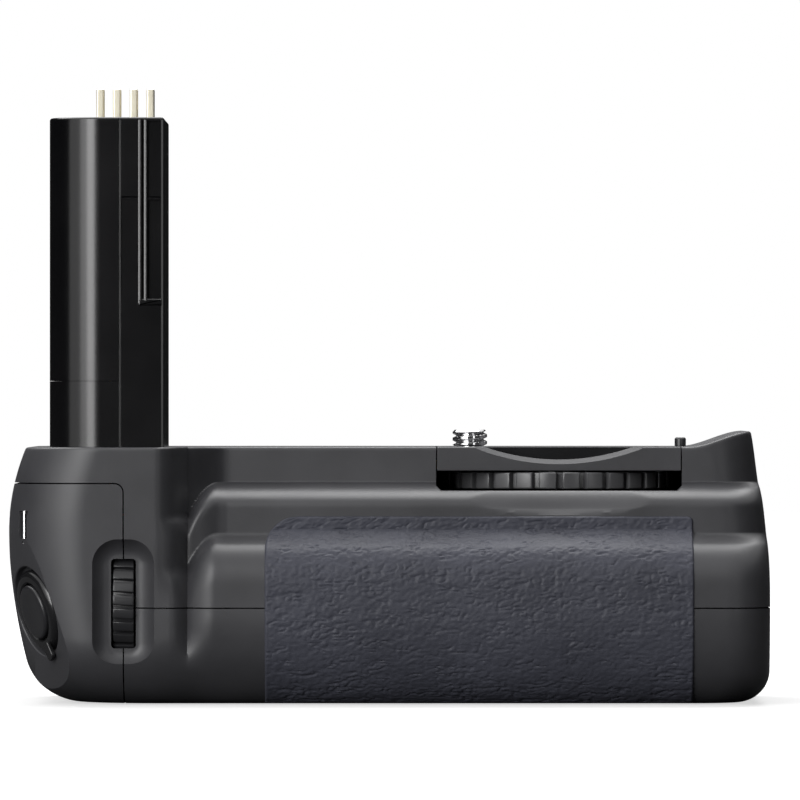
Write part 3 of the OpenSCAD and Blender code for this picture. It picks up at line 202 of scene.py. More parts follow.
def back_y(x, z, w):
    return (BODY_BACK - w - round_in(z - w, FILLET_BACK - w)
            - round_in(x - left_x(z, w), CORNER_B - w) - round_in(right_x(z, w) - x, CORNER_B - w))


def horn(x, z):
    """Rise of the seat's right corner."""
    return (HORN_RISE * smooth((x - HORN_X) / (HORN_END - HORN_X))
            * smooth((z - STEP1_TOP) / (SEAT_Z - STEP1_TOP)))


# Mesh helpers

def make_object(name, points, faces, smooth_angle=SMOOTH):
    """Mesh object from points in millimetres, with shading that is sharp past the angle."""
    mesh = bpy.data.meshes.new(name)
    mesh.from_pydata([tuple(float(c) * MM for c in p) for p in points], [], faces)
    mesh.validate()
    obj = bpy.data.objects.new(name, mesh)
    bpy.context.scene.collection.objects.link(obj)
    shade(obj, smooth_angle)
    return obj


def shade(obj, angle):
    obj.data.polygons.foreach_set("use_smooth", [True] * len(obj.data.polygons))
    obj.data.set_sharp_from_angle(angle=math.radians(angle))
    obj.data.update()


def combine(obj, operation, *tools):
    """Applies a boolean with each tool in turn to the mesh and removes the tools."""
    for tool in tools:
        modifier = obj.modifiers.new("cut", "BOOLEAN")
        modifier.operation = operation
        modifier.solver = "MANIFOLD"
        modifier.object = tool
        depsgraph = bpy.context.evaluated_depsgraph_get()
        mesh = bpy.data.meshes.new_from_object(obj.evaluated_get(depsgraph))
        obj.modifiers.clear()
        unused = (obj.data, tool.data)
        obj.data = mesh
        bpy.data.objects.remove(tool)
        for old in unused:
            bpy.data.meshes.remove(old)


def cut(obj, *tools):
    combine(obj, "DIFFERENCE", *tools)


def join(obj, *tools):
    combine(obj, "UNION", *tools)


def keep_inside(obj, tool):
    combine(obj, "INTERSECT", tool)


def copy_of(obj, name):
    twin = obj.copy()
    twin.data = obj.data.copy()
    twin.name = name
    bpy.context.scene.collection.objects.link(twin)
    return twin


def polar(r, a):
    return r * math.cos(a), r * math.sin(a)


def wall_faces(rows, n):
    """Quads between rows of n points that run round."""
    faces = []
    for k in range(rows - 1):
        for j in range(n):
            a, b = k * n + j, k * n + (j + 1) % n
            faces.append((a, b, b + n, a + n))
    return faces


def loft(name, rings, smooth_angle=SMOOTH):
    """Solid through closed rings of equal point count, bottom to top, counter-clockwise from above."""
    n = len(rings[0])
    points = [p for ring in rings for p in ring]
    last = (len(rings) - 1) * n
    ends = [tuple(reversed(range(n))), tuple(last + j for j in range(n))]
    return make_object(name, points, wall_faces(len(rings), n) + ends, smooth_angle)


def inset_outline(outline, d):
    """Outline moved inwards by d along its corner normals; the outline runs counter-clockwise."""
    pts = np.asarray(outline, float)
    side = pts - np.roll(pts, 1, axis=0)
    side = side / np.maximum(np.linalg.norm(side, axis=1, keepdims=True), 1e-9)
    normal = np.stack([-side[:, 1], side[:, 0]], axis=1)
    middle = normal + np.roll(normal, -1, axis=0)
    scale = np.maximum((middle * middle).sum(axis=1) / 2.0, 0.3)
    return pts + d * middle / scale[:, None]


def bevel_angles(size):
    """Angles of the rings of a rounded edge, or only the first for a sharp edge."""
    return [math.radians(90.0 * k / BEVEL_STEPS) for k in range(BEVEL_STEPS + 1 if size > 0 else 1)]


def prism(name, outline, z0, z1, bevel=0.0, bevel_low=None):
    """Upright prism with rounded upper and lower edges; an edge with no bevel stays sharp."""
    low = bevel if bevel_low is None else bevel_low
    rings = []
    for a in bevel_angles(low):
        ring = inset_outline(outline, low * (1 - math.sin(a)))
        rings.append([(x, y, z0 + low * (1 - math.cos(a))) for x, y in ring])
    for a in bevel_angles(bevel):
        ring = inset_outline(outline, bevel * (1 - math.cos(a)))
        rings.append([(x, y, z1 - bevel * (1 - math.sin(a))) for x, y in ring])
    return loft(name, rings)


def prism_front(name, outline, y_front, y_back, bevel=0.0):
    """Prism along Y from an outline in X and Z, with its bevel on the front edge."""
    return place(prism(name, outline, -y_back, -y_front, bevel, 0.0), TO_FRONT)


def round_rect(x0, x1, y0, y1, radii, steps=8):
    """Rounded rectangle, counter-clockwise, radii for its corners from (x0, y0) round to (x0, y1)."""
    corners = [(x0, y0, 1, 1, 180), (x1, y0, -1, 1, 270), (x1, y1, -1, -1, 0), (x0, y1, 1, -1, 90)]
    pts = []
    for (cx, cy, sx, sy, start), r in zip(corners, radii):
        for k in range(steps + 1):
            a = math.radians(start + 90.0 * k / steps)
            pts.append((cx + sx * r + r * math.cos(a), cy + sy * r + r * math.sin(a)))
    return pts


def centred_rect(x, y, w, h, r, steps=8):
    """Rounded rectangle of width w and height h about (x, y), with one radius."""
    return round_rect(x - w / 2, x + w / 2, y - h / 2, y + h / 2, [r] * 4, steps)


def lathe(name, profile, n=64):
    """Solid of revolution about Z from a profile of (radius, z) that starts and ends on the axis."""
    points, faces, low = [], [], []
    for r, z in profile:
        count = n if r > 0 else 1
        high = [len(points) + j % count for j in range(n)]
        points += [(*polar(r, TURN * j / n), z) for j in range(count)]
        for j in range(n if low else 0):
            k = (j + 1) % n
            faces.append(tuple(dict.fromkeys((low[j], low[k], high[k], high[j]))))
        low = high
    return make_object(name, points, faces)


def ring_lathe(name, profile, n):
    """Solid ring about Z from a closed profile of (radius, z), counter-clockwise in the (r, z) plane."""
    points = [(*polar(r, TURN * j / n), z) for j in range(n) for r, z in profile]
    quads = wall_faces(n + 1, len(profile))
    faces = [tuple(i % len(points) for i in (a, d, c, b)) for a, b, c, d in quads]
    return make_object(name, points, faces)


def ring_groove(r0, r1, z, half):
    """Cutter for a ring-shaped groove from radius r0 to r1 about height z."""
    return ring_lathe("cut", [(r0, z - half), (r1, z - half), (r1, z + half), (r0, z + half)], 96)


def rim(r, z, size, angles):
    """Profile points of a rounded upper rim, from the wall at radius r to the top at height z."""
    return [(r - size * (1 - math.cos(a)), z - size * (1 - math.sin(a))) for a in angles]


def box(low, high):
    x, y, z = zip(low, high)
    points = [(x[i], y[j], z[k]) for k in (0, 1) for j in (0, 1) for i in (0, 1)]
    faces = [(0, 2, 3, 1), (4, 5, 7, 6), (0, 1, 5, 4), (2, 6, 7, 3), (0, 4, 6, 2), (1, 3, 7, 5)]
    return make_object("box", points, faces)


def cylinder(name, r, z0, z1, n=64):
    return lathe(name, [(0, z0), (r, z0), (r, z1), (0, z1)], n)


def upright(x, y, r, z0, z1, n=48):
    return place(cylinder("rod", r, z0, z1, n), at(x, y, 0))


def place(obj, matrix):
    """Moves the mesh itself by a matrix in millimetres."""
    scaled = Matrix(matrix)
    scaled.translation = scaled.translation * MM
    obj.data.transform(scaled)
    obj.data.update()
    return obj


def frame_matrix(origin, z_axis, x_hint):
    """Matrix of a local frame with its Z along z_axis and its X near x_hint."""
    z = Vector(z_axis).normalized()
    y = z.cross(Vector(x_hint)).normalized()
    x = y.cross(z)
    rotation = Matrix((x, y, z)).transposed().to_4x4()
    return Matrix.Translation(Vector(origin)) @ rotation


def release_matrix():
    """Local frame of the shutter release: Z outwards, X downwards."""
    lean, turn = math.radians(90 + RELEASE_LEAN), math.radians(RELEASE_TURN)
    axis = (math.sin(lean) * math.cos(turn), math.sin(lean) * math.sin(turn), math.cos(lean))
    return frame_matrix(RELEASE, axis, (0, 0, -1))


TO_FRONT = frame_matrix((0, 0, 0), (0, -1, 0), (1, 0, 0))
TO_BACK = frame_matrix((0, 0, 0), (0, 1, 0), (-1, 0, 0))
ALONG_X = frame_matrix((0, 0, 0), (1, 0, 0), (0, 0, -1))


def at(x, y, z, matrix=None):
    return Matrix.Translation(Vector((x, y, z))) @ (matrix or Matrix.Identity(4))


def about_z(degrees):
    return Matrix.Rotation(math.radians(degrees), 4, "Z")


def finish_piece(obj, nodes, finish, sharp=None, body="grip_body"):
    """Gives a piece its finish and body, hides the part's nodes that it stands for, and sets its shading
    after cuts.
    """
    if sharp:
        shade(obj, sharp)
    obj.data.materials.clear()
    obj.data.materials.append(finish)
    normals = obj.modifiers.new("normals", "WEIGHTED_NORMAL")
    normals.keep_sharp = True
    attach(obj, body)
    if nodes:
        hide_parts(*nodes)


# Materials

DRIFT_SCALE, DRIFT_DETAIL, DRIFT_LOW, DRIFT_HIGH = 90.0, 4.0, 0.3, 0.7
GRAIN_DETAIL, GRAIN_DEPTH, LEAST_ROUGHNESS = 2.0, 0.05, 0.02


def set_inputs(tree, node, **inputs):
    """Sets inputs by name, with _ for a space: an output is linked in and a value is written."""
    for name, value in inputs.items():
        socket = node.inputs[name.replace("_", " ")]
        if isinstance(value, bpy.types.NodeSocket):
            tree.links.new(value, socket)
        else:
            socket.default_value = value
    return node


def new_node(tree, kind, **inputs):
    return set_inputs(tree, tree.nodes.new("ShaderNode" + kind), **inputs)


def math_node(tree, operation, a, b):
    node = new_node(tree, "Math")
    node.operation = operation
    tree.links.new(a, node.inputs[0])
    tree.links.new(b, node.inputs[1])
    return node.outputs["Value"]


def material(name, color, roughness, metallic=0.0, grain=0.0, grain_size=0.3, spread=0.12,
             stretch=(1, 1, 1), specular=0.5, wear=0.08):
    """Principled finish whose colour and roughness drift a little and whose grain is a bump.

    grain is the bump's strength, grain_size the size of its cells in millimetres.
    """
    mat = bpy.data.materials.new(name)
    mat.use_nodes = True
    tree = mat.node_tree
    spot = new_node(tree, "TexCoord").outputs["Object"]
    noise = new_node(tree, "TexNoise", Scale=DRIFT_SCALE, Detail=DRIFT_DETAIL, Vector=spot)
    drift = noise.outputs["Fac"]
    ramp = new_node(tree, "ValToRGB", Fac=drift)
    levels = (1.0 - spread, 1.0 + spread)
    for stop, position, level in zip(ramp.color_ramp.elements, (DRIFT_LOW, DRIFT_HIGH), levels):
        stop.position = position
        stop.color = (*[min(1.0, c * level) for c in color], 1.0)
    rough = new_node(tree, "MapRange", Value=drift, To_Min=max(LEAST_ROUGHNESS, roughness - wear),
                     To_Max=min(1.0, roughness + wear))
    shader = set_inputs(tree, tree.nodes["Principled BSDF"], Metallic=metallic, Specular_IOR_Level=specular,
                        Base_Color=ramp.outputs["Color"], Roughness=rough.outputs["Result"])
    if grain > 0.0:
        scaled = new_node(tree, "Mapping", Vector=spot, Scale=stretch).outputs["Vector"]
        cells = new_node(tree, "TexNoise", Scale=1.0 / MM / grain_size, Detail=GRAIN_DETAIL, Vector=scaled)
        bump = new_node(tree, "Bump", Strength=grain, Distance=GRAIN_DEPTH * MM, Height=cells.outputs["Fac"])
        set_inputs(tree, shader, Normal=bump.outputs["Normal"])
    return mat


CASE = material("case_plastic", (0.046, 0.046, 0.05), 0.42, grain=0.3, grain_size=0.16)
TOWER = material("column_plastic", (0.0035, 0.0035, 0.004), 0.2, grain=0.05, grain_size=0.2, wear=0.03)
CONTROL = material("control_plastic", (0.022, 0.022, 0.024), 0.34, grain=0.12, grain_size=0.2)
GLOSS = material("bezel_gloss", (0.012, 0.012, 0.013), 0.2, wear=0.05)
WHEEL_GRIP = material("wheel_grip", (0.075, 0.075, 0.078), 0.3, grain=0.12, grain_size=0.2)
RUBBER = material("grip_rubber", (0.056, 0.058, 0.074), 0.5, grain=0.8, stretch=(0.6, 1, 1), specular=0.25)
INNER = material("inner_plastic", (0.05, 0.05, 0.055), 0.5, grain=0.15, grain_size=0.4)
STEEL = material("steel", (0.72, 0.72, 0.73), 0.16, 1.0, grain=0.05, grain_size=0.5, spread=0.06)
DARK_STEEL = material("dark_steel", (0.3, 0.3, 0.31), 0.3, 1.0, grain=0.1, grain_size=0.4, spread=0.08)
BLACK_STEEL = material("black_steel", (0.16, 0.16, 0.165), 0.42, 0.6, grain=0.1, grain_size=0.4)
BRASS = material("gear_brass", (0.72, 0.55, 0.26), 0.3, 1.0, grain=0.1, grain_size=0.4, spread=0.08)
GOLD = material("gold_contact", (0.98, 0.92, 0.74), 0.34, 0.6, grain=0.06, grain_size=0.5, spread=0.03)
BOARD = material("circuit_board", (0.03, 0.16, 0.07), 0.4, grain=0.2, grain_size=0.5, spread=0.2)
FLEX = material("flex_film", (0.55, 0.28, 0.06), 0.3, spread=0.15)
PACK = material("pack_plastic", (0.09, 0.095, 0.105), 0.5, grain=0.3)


# Body of the grip: three shells cut from one smooth form

def spread_out(pieces):
    """Values that run through several stretches, each given as start, end, count and easing."""
    values = [pieces[0][0]]
    for start, end, count, ease in pieces:
        values += [start + (end - start) * ease(k / count) for k in range(1, count + 1)]
    return values


def even(t):
    return t


def slow_start(t):
    return 1.0 - math.cos(t * QUARTER)


def slow_end(t):
    return math.sin(t * QUARTER)


def body_stations(z, w, fine):
    x0, x1 = float(left_x(z, w)), float(right_x(z, w))
    return np.array(spread_out([
        (x0, BLOCK_X0, 22 * fine, slow_start), (BLOCK_X0, GROOVE_X, 5 * fine, even),
        (GROOVE_X, BLOCK_X1, 6 * fine, even),
        (BLOCK_X1, HORN_X, 30 * fine, even), (HORN_X, x1, 9 * fine, slow_end)]))


def body_levels(fine):
    low2, high2 = STEP2_TOP - STEP2_H * (1 + STEP_SOFT), STEP2_TOP + STEP2_H * STEP_SOFT
    low1, high1 = STEP1_TOP - STEP1_H * (1 + STEP_SOFT), STEP1_TOP + STEP1_H * STEP_SOFT
    return spread_out([
        (0.0, FILLET_TALL, 11 * fine, slow_start), (FILLET_TALL, low2, 4 * fine, even),
        (low2, high2, 10 * fine, slow_end), (high2, low1, 2 * fine, even),
        (low1, high1, 9 * fine, slow_end), (high1, SEAT_Z - FILLET_TOP, 4 * fine, even)])


def body_ring(z, w, fine, detail):
    x = body_stations(z, w, fine)
    rise = horn(x, z) if w <= OUTER_INSET else 0.0 * x
    front = np.stack([x, front_y(x, z, w, detail), z + rise], axis=1)
    back = np.stack([x, back_y(x, z, w), z + rise], axis=1)
    return np.concatenate([front, back[::-1]])


def body_solid(name, w, fine, detail):
    """Closed form of the body, inset by w; up to OUTER_INSET it has the raised corner and a rounded top."""
    if w > OUTER_INSET:
        rings = [body_ring(w + z * (SEAT_Z - 2 * w) / (SEAT_Z - FILLET_TOP), w, fine, detail)
                 for z in body_levels(fine)]
    else:
        rings = [body_ring(z, w, fine, detail) for z in body_levels(fine)]
        for k in range(1, TOP_STEPS + 1):
            a = math.radians(90.0 * k / TOP_STEPS)
            z = SEAT_Z - FILLET_TOP * (1 - math.sin(a))
            rings.append(body_ring(z, w + FILLET_TOP * (1 - math.cos(a)), fine, detail))
    n = len(rings[0])
    faces = wall_faces(len(rings), n)
    top = (len(rings) - 1) * n
    for i in range(n // 2 - 1):
        a, b, c, d = i, i + 1, n - 2 - i, n - 1 - i
        faces += [(d, c, b, a), (top + a, top + b, top + c, top + d)]
    return make_object(name, np.concatenate(rings), faces)


def end_region(gap):
    """Space of the end cover with its rounded corner, grown by gap."""
    x, z, r = END_X + gap, END_Z + gap, END_ROUND + gap
    arc = [(x - r + r * math.cos(a), z - r + r * math.sin(a)) for a in np.linspace(0.0, QUARTER, 9)]
    return prism_front("cut", [(-FAR, -FAR), (x, -FAR)] + arc + [(-FAR, z)], -FAR, FAR)


def release_cutter():
    """Facet and round recess of the shutter release with a rounded lip."""
    reach, height = 60.0, 50.0
    lip = [(RECESS_R + RECESS_LIP * (1 - math.cos(a)), FACET_S - RECESS_LIP * (1 - math.sin(a)))
           for a in np.linspace(0.0, QUARTER, 6)]
    floor = [(0, RECESS_S), (RECESS_R - RECESS_FILLET, RECESS_S), (RECESS_R - 0.1, RECESS_S + 0.12),
             (RECESS_R, RECESS_S + RECESS_FILLET)]
    profile = floor + lip + [(reach, FACET_S), (reach, height), (0, height)]
    return place(lathe("cut", profile, 96), release_matrix())


def dish_cutter():
    """Dish around the front dial: steep at its edge and flat towards the dial."""
    above = [(-4.0, -2.6), (-0.15, -0.15)]
    bowl = [(DISH_DEPTH * (1.0 - (1.0 - t) ** 2), DISH_RUN * t) for t in np.linspace(0.0, 1.0, 9)]
    rings = []
    for depth, inset in above + bowl:
        w, h, r = DISH_W - 2 * inset, DISH_H - 2 * inset, max(0.8, DISH_R - inset)
        outline = centred_rect(END_X, DIAL_Z, w, h, r, 12)
        rings.append([(x, depth - BODY_FRONT, z) for x, z in outline])
    return loft("cut", rings[::-1])


def slot_cutter():
    """Slot of the thumbwheel with chamfered lower corners, open at the top."""
    x0, x1 = PLATE_LEFT - PLATE_GAP, PLATE_RIGHT + PLATE_GAP
    outline = [(x0 + SLOT_CHAMFER, SLOT_Z0), (x1 - SLOT_CHAMFER, SLOT_Z0), (x1, SLOT_Z0 + SLOT_CHAMFER),
               (x1, FAR), (x0, FAR), (x0, SLOT_Z0 + SLOT_CHAMFER)]
    return prism_front("cut", outline, -FAR, SLOT_BACK)


def plate_outline(front, gap):
    """Stepped outline of the wheel cover from y = front, grown by gap at its other edges."""
    x0, x1, x2 = PLATE_LEFT - gap, PLATE_STEP_X + gap, PLATE_RIGHT + gap
    y1, y2 = PLATE_STEP_Y + gap, PLATE_BACK + gap
    return [(x0, front), (x2, front), (x2, y1), (x1, y1), (x1, y2), (x0, y2)]


def tray_opening():
    x, z = (COVER_X0 + COVER_X1) / 2, (COVER_Z0 + COVER_Z1) / 2
    w, h = COVER_X1 - COVER_X0 + TRAY_PLAY, COVER_Z1 - COVER_Z0 + TRAY_PLAY
    return prism_front("cut", centred_rect(x, z, w, h, TRAY_ROUND), COVER_Y0 - 1, FAR)


def dial_room(r, x, y, z):
    """Round space for a dial that turns about X."""
    return place(cylinder("cut", r + DIAL_PLAY, -DIAL_SLOT_W / 2, DIAL_SLOT_W / 2, 96), at(x, y, z, ALONG_X))


def inner_space():
    """Hollow of the body, less the thick places behind the dial, the release and the screw posts."""
    space = body_solid("inner", WALL, 1, False)
    dish = (DISH_W + 2 * WALL, DISH_H + 2 * WALL)
    backing = box((END_X - dish[0] / 2, -FAR, DIAL_Z - dish[1] / 2),
                  (END_X + dish[0] / 2, DISH_DEPTH + WALL - BODY_FRONT, DIAL_Z + dish[1] / 2))
    release = place(box((-FAR, -FAR, RECESS_S - WALL), (FAR, FAR, FAR)), release_matrix())
    keep_inside(release, box((-FAR, -FAR, -FAR), (END_X, FAR, END_Z)))
    cut(space, backing, release)
    cut(space, *[upright(x, y, POST_R, -1.0, FAR) for x, y in CASE_SCREWS])
    return space


def ledge_cutter():
    """Room of the ledge plate under the front of the wheel."""
    ledge = upright(*WHEEL, LEDGE_R, LEDGE_Z0, LEDGE_Z1, 128)
    keep_inside(ledge, box((-FAR, -FAR, 0), (FAR, LEDGE_BACK, FAR)))
    return ledge


def column_seat():
    """Shallow seat of the column's outline."""
    p = TOWER_PLAY
    outline = round_rect(TOWER_X0 - p, TOWER_X1 + p, TOWER_Y0 - p, TOWER_Y1 + p,
                         [TOWER_ROUND] + [TOWER_CORNER] * 3)
    return prism("cut", outline, SEAT_Z - TOWER_SINK, FAR)


def column_box(inset, z0, z1):
    """Box inside the column's sides by inset."""
    return box((TOWER_X0 + inset, TOWER_Y0 + inset, z0), (TOWER_X1 - inset, TOWER_Y1 - inset, z1))


def build_shells():
    shell = body_solid("shell", 0.0, 4, True)
    slot = centred_rect(END_X, DIAL_Z, DIAL_SLOT_W, DIAL_SLOT_H, DIAL_SLOT_ROUND)
    cut(shell, inner_space(), dish_cutter(), prism_front("cut", slot, -FAR, DIAL_Y - DIAL_SLOT_DEPTH),
        dial_room(DIAL_R, END_X, DIAL_Y, DIAL_Z), tray_opening())
    g = SEAM / 2

    upper = copy_of(shell, "upper_shell")
    cut(upper, end_region(g), box((END_X - 1, -FAR, -FAR), (FAR, FAR, SPLIT_Z + g)),
        slot_cutter(), prism("cut", plate_outline(OPENING_FRONT, PLATE_GAP), SEAT_Z - WALL - 1, FAR),
        ledge_cutter(), column_seat(), column_box(TOWER_WELL, WELL_Z, FAR),
        upright(*PIN, PIN_SHOULDER_R + 0.05, WELL_Z, FAR), dial_room(REAR_DIAL_R, *REAR_DIAL))

    lower = copy_of(shell, "lower_shell")
    half_x, half_y = BASE_PAD_X + 0.1, BASE_PAD_Y + 0.1
    cut(lower, end_region(g), box((-FAR, -FAR, SPLIT_Z - g), (FAR, FAR, FAR)),
        upright(0, 0, SOCKET_R + 0.1, -1, 3.2, 96),
        prism("cut", round_rect(-half_x, half_x, -half_y, half_y, [1.5] * 4), -1, BASE_PAD_T))
    for x, y in CASE_SCREWS:
        cut(lower, upright(x, y, SINK_R, -1, SINK_Z), upright(x, y, SCREW_HOLE_R, -1, SPLIT_Z + 1))

    end = shell
    end.name = "end_shell"
    keep_inside(end, end_region(-g))
    cut(end, release_cutter(),
        place(cylinder("cut", RELEASE_R + 0.15, RECESS_S - WALL - 1, 5), release_matrix()), strap_recess(),
        place(cylinder("cut", REAR_HOLE_R, -FAR, -25), at(REAR_BUTTON_X, 0, REAR_BUTTON_Z, TO_FRONT)))
    for obj, node in ((upper, "upper_case"), (lower, "lower_case"), (end, "end_cover")):
        finish_piece(obj, [node], CASE, SHARP)


def strap_matrix():
    """Local frame of the strap bar: Z up, X outwards."""
    turn, reach = math.radians(STRAP_ANGLE), CORNER_FL - STRAP_R - 0.4
    origin = (CORNER_FL - BODY_LEFT + reach * math.cos(turn),
              CORNER_FL - BODY_FRONT + reach * math.sin(turn), STRAP_Z)
    return frame_matrix(origin, (0, 0, 1), (math.cos(turn), math.sin(turn), 0))


def strap_rod(name, r):
    """Rod of the strap bar in its local frame, with a millimetre in the case at each end."""
    return cylinder(name, r, -STRAP_H / 2 - 1, STRAP_H / 2 + 1, 32)


def strap_recess():
    slot = box((-0.7, -0.8, -STRAP_H / 2), (4.2, 2.0, STRAP_H / 2))
    join(slot, strap_rod("bore", STRAP_R + 0.05))
    return place(slot, strap_matrix())


# Battery column

def tower_outline(inset):
    radii = [max(0.1, r - inset) for r in (TOWER_ROUND, TOWER_EDGE, TOWER_CORNER, TOWER_CORNER)]
    return round_rect(TOWER_X0 + inset, TOWER_X1 - inset, TOWER_Y0 + inset, TOWER_Y1 - inset, radii, 14)


def cover_region(gap):
    """Space of the column's rounded cover, grown by gap."""
    return box((-FAR, -FAR, TOWER_CUT_Z - gap), (TOWER_CUT_X + gap, FAR, FAR))


def front_panel(x0, x1, z0, z1, depth):
    """Cutter for a shallow recess in the front of the column."""
    r = min(PANEL_ROUND, (x1 - x0) / 3)
    return prism_front("cut", round_rect(x0, x1, z0, z1, [r] * 4, 4), -FAR, TOWER_Y0 + depth)


def front_ridge(crest, z0):
    """Low upright ridge on the front of the column; crest gives its x and height from left to right."""
    foot = TOWER_Y0 + RIB_ROOT
    outline = [(crest[0][0], foot)] + [(x, TOWER_Y0 - rise) for x, rise in crest] + [(crest[-1][0], foot)]
    return prism("ridge", outline, z0, TOWER_TOP - 0.5)


def front_notch():
    """Cutter for a level groove in the front of the column, with a sloped lower wall."""
    before, high, low = TOWER_Y0 - 0.2, NOTCH_Z + NOTCH_HALF, NOTCH_Z - NOTCH_HALF
    section = [(before, high), (before, low), (TOWER_Y0 + NOTCH_DEPTH, high)]
    points = [(x, y, z) for x in (NOTCH_X0, NOTCH_X1) for y, z in section]
    return make_object("cut", points, [(0, 2, 1), (3, 4, 5), (0, 1, 4, 3), (1, 2, 5, 4), (2, 0, 3, 5)])


def build_column_ribs():
    ribs = prism_front("column_ribs", round_rect(*SILL, [0.1] * 4, 2), TOWER_Y0 - RIB_RISE,
                       TOWER_Y0 + RIB_ROOT, 0.3)
    join(ribs, *[front_ridge(crest, z0) for crest, z0 in RIBS])
    finish_piece(ribs, [], TOWER, RIB_SHARP)


def contact_blade(k, x):
    """Upright contact blade with rounded edges and a rounded tip."""
    outline = round_rect(x - BLADE_HALF, x + BLADE_HALF, BLADE_Y0, BLADE_Y0 + BLADE_DEPTH,
                         [0.3, 0.3, 0.2, 0.2], 6)
    return prism("contact_blade_%d" % k, outline, BLADE_Z0, BLADE_TOP, 0.25, 0.0)


def build_tower():
    column = prism("column", tower_outline(0), SEAT_Z - TOWER_SINK, TOWER_TOP, 0.45, 0.0)
    cut(column, prism("inside", tower_outline(TOWER_WALL), SEAT_Z + 2.0, TOWER_TOP - TOWER_WALL))
    for x in BLADE_X:
        cut(column, box((x - 0.8, BLADE_Y0 - BLADE_PLAY, 100),
                        (x + 0.8, BLADE_Y0 + BLADE_DEPTH + BLADE_PLAY, FAR)))

    cover = copy_of(column, "column_cover")
    keep_inside(cover, cover_region(COVER_GAP))
    finish_piece(cover, ["tower_cover"], TOWER, SHARP)

    body = column
    body.name = "column_frame"
    cut(body, cover_region(FRAME_GAP))
    join(body, column_box(TOWER_FOOT, FOOT_Z, SEAT_Z + 0.5))
    cut(body, box(*FLEX_SLOT))
    for y in TOWER_SCREW_Y:
        cut(body, upright(TOWER_SCREW_X, y, TOWER_SCREW_R, WELL_Z, SEAT_Z + 1.5))
    cut(body, *[front_panel(*panel) for panel in PANELS])
    cut(body, front_notch())
    finish_piece(body, ["tower_frame"], TOWER, SHARP)
    build_column_ribs()
    for k, x in enumerate(BLADE_X):
        finish_piece(contact_blade(k, x), ["contact_blades"], GOLD)


# Wheel cover, thumbwheel, camera screw and locating pin

def build_wheel_cover():
    plate = prism("wheel_cover_plate", plate_outline(-BAND_FRONT, 0.0), PLATE_Z0, SEAT_Z, 0.25, 0.15)
    for x, y, r in GEAR_ROOMS:
        cut(plate, upright(x, y, r, PLATE_Z0 - 1, GEAR_ROOM_TOP, 64))
    cut(plate, upright(0, 0, NECK_HOLE_R, PLATE_Z0, FAR, 64))
    mouth = [(0, 0), (3.2, 0), (3.9, 0.8), (0, 0.8)]
    cut(plate, place(lathe("cut", mouth), at(0, 0, SEAT_Z - 0.7)))
    cut(plate, upright(*WHEEL, AXLE_HOLE_R, PLATE_Z0, SEAT_Z - 1.0))
    lens_z = SEAT_Z - LENS_SCOOP + LENS_R
    profile = [(0, LENS_BACK), (LENS_R, LENS_BACK), (LENS_R, BAND_FRONT - 0.8),
               (LENS_R + LENS_LIP, BAND_FRONT + 0.05), (LENS_R + LENS_LIP, FAR), (0, FAR)]
    cut(plate, place(lathe("cut", profile, 256), at(WHEEL[0], 0, lens_z, TO_FRONT)))
    for x, y in PLATE_SCREWS:
        cut(plate, upright(x, y, PLATE_HOLE_R, PLATE_Z0 - 1, FAR))
        cut(plate, upright(x, y, PLATE_SINK_R, SEAT_Z - PLATE_SINK, FAR))
    finish_piece(plate, ["wheel_cover"], CASE, SHARP)
    # Thin dark glossy plate on the back wall of the lens scoop: painted shade for the shadowed recess behind
    # the wheel's lip.
    reach = math.sqrt(LENS_R ** 2 - (LENS_R - LENS_SCOOP + 0.1) ** 2)
    half = math.asin(reach / LENS_R)
    arc = [(WHEEL[0] + LENS_R * math.sin(a), SEAT_Z - LENS_SCOOP + LENS_R * (1.0 - math.cos(a)))
           for a in np.linspace(-half, half, 33)]
    back = prism_front("scoop_shade_plate", arc, -LENS_BACK - 0.2, 0.1 - LENS_BACK, 0.05)
    finish_piece(back, [], GLOSS)


def grip_ring(name, r, depth, teeth, half, share, bevel, slant=0.0):
    """Toothed rim about Z from -half to half: rounded blocks with narrow gaps between them."""
    top, pitch = TURN * share / teeth, TURN / teeth
    edge = min(0.28 * depth, 0.4)
    turn = edge / r
    outline = []
    for t in range(teeth):
        middle = TURN * t / teeth
        start, end = middle - top / 2, middle + top / 2
        outline += [(r - depth, middle - pitch / 2), (r - depth, start - 0.15 * turn),
                    (r - edge, start), (r - 0.3 * edge, start + 0.3 * turn),
                    (r, start + turn), (r, middle), (r, end - turn),
                    (r - 0.3 * edge, end - 0.3 * turn), (r - edge, end),
                    (r - depth, end + 0.15 * turn)]
    low = [(-half, bevel), (-half + 0.3 * bevel, 0.3 * bevel), (-half + bevel, 0.0)]
    levels = low + [(-z, inset) for z, inset in reversed(low)]
    rings = [[(*polar(rr - inset, a + slant * z), z) for rr, a in outline] for z, inset in levels]
    return loft(name, rings, TOOTH_SHARP)


def build_thumbwheel():
    half = WHEEL_T / 2
    wheel = grip_ring("thumbwheel_rim", WHEEL_R, GRIP_DEPTH, WHEEL_GRIPS, half, share=0.74, bevel=0.35)
    join(wheel, cylinder("hub", 5.0, 0.0, 2.0))
    cut(wheel, cylinder("cut", 2.05, -5, 5, 48))
    for side in (-1, 1):
        cut(wheel, ring_groove(9.0, 17.5, side * half, 0.35))
    place(wheel, at(*WHEEL, WHEEL_Z0 + half))
    finish_piece(wheel, ["thumbwheel"], WHEEL_GRIP, WHEEL_SHARP, body="thumbwheel")


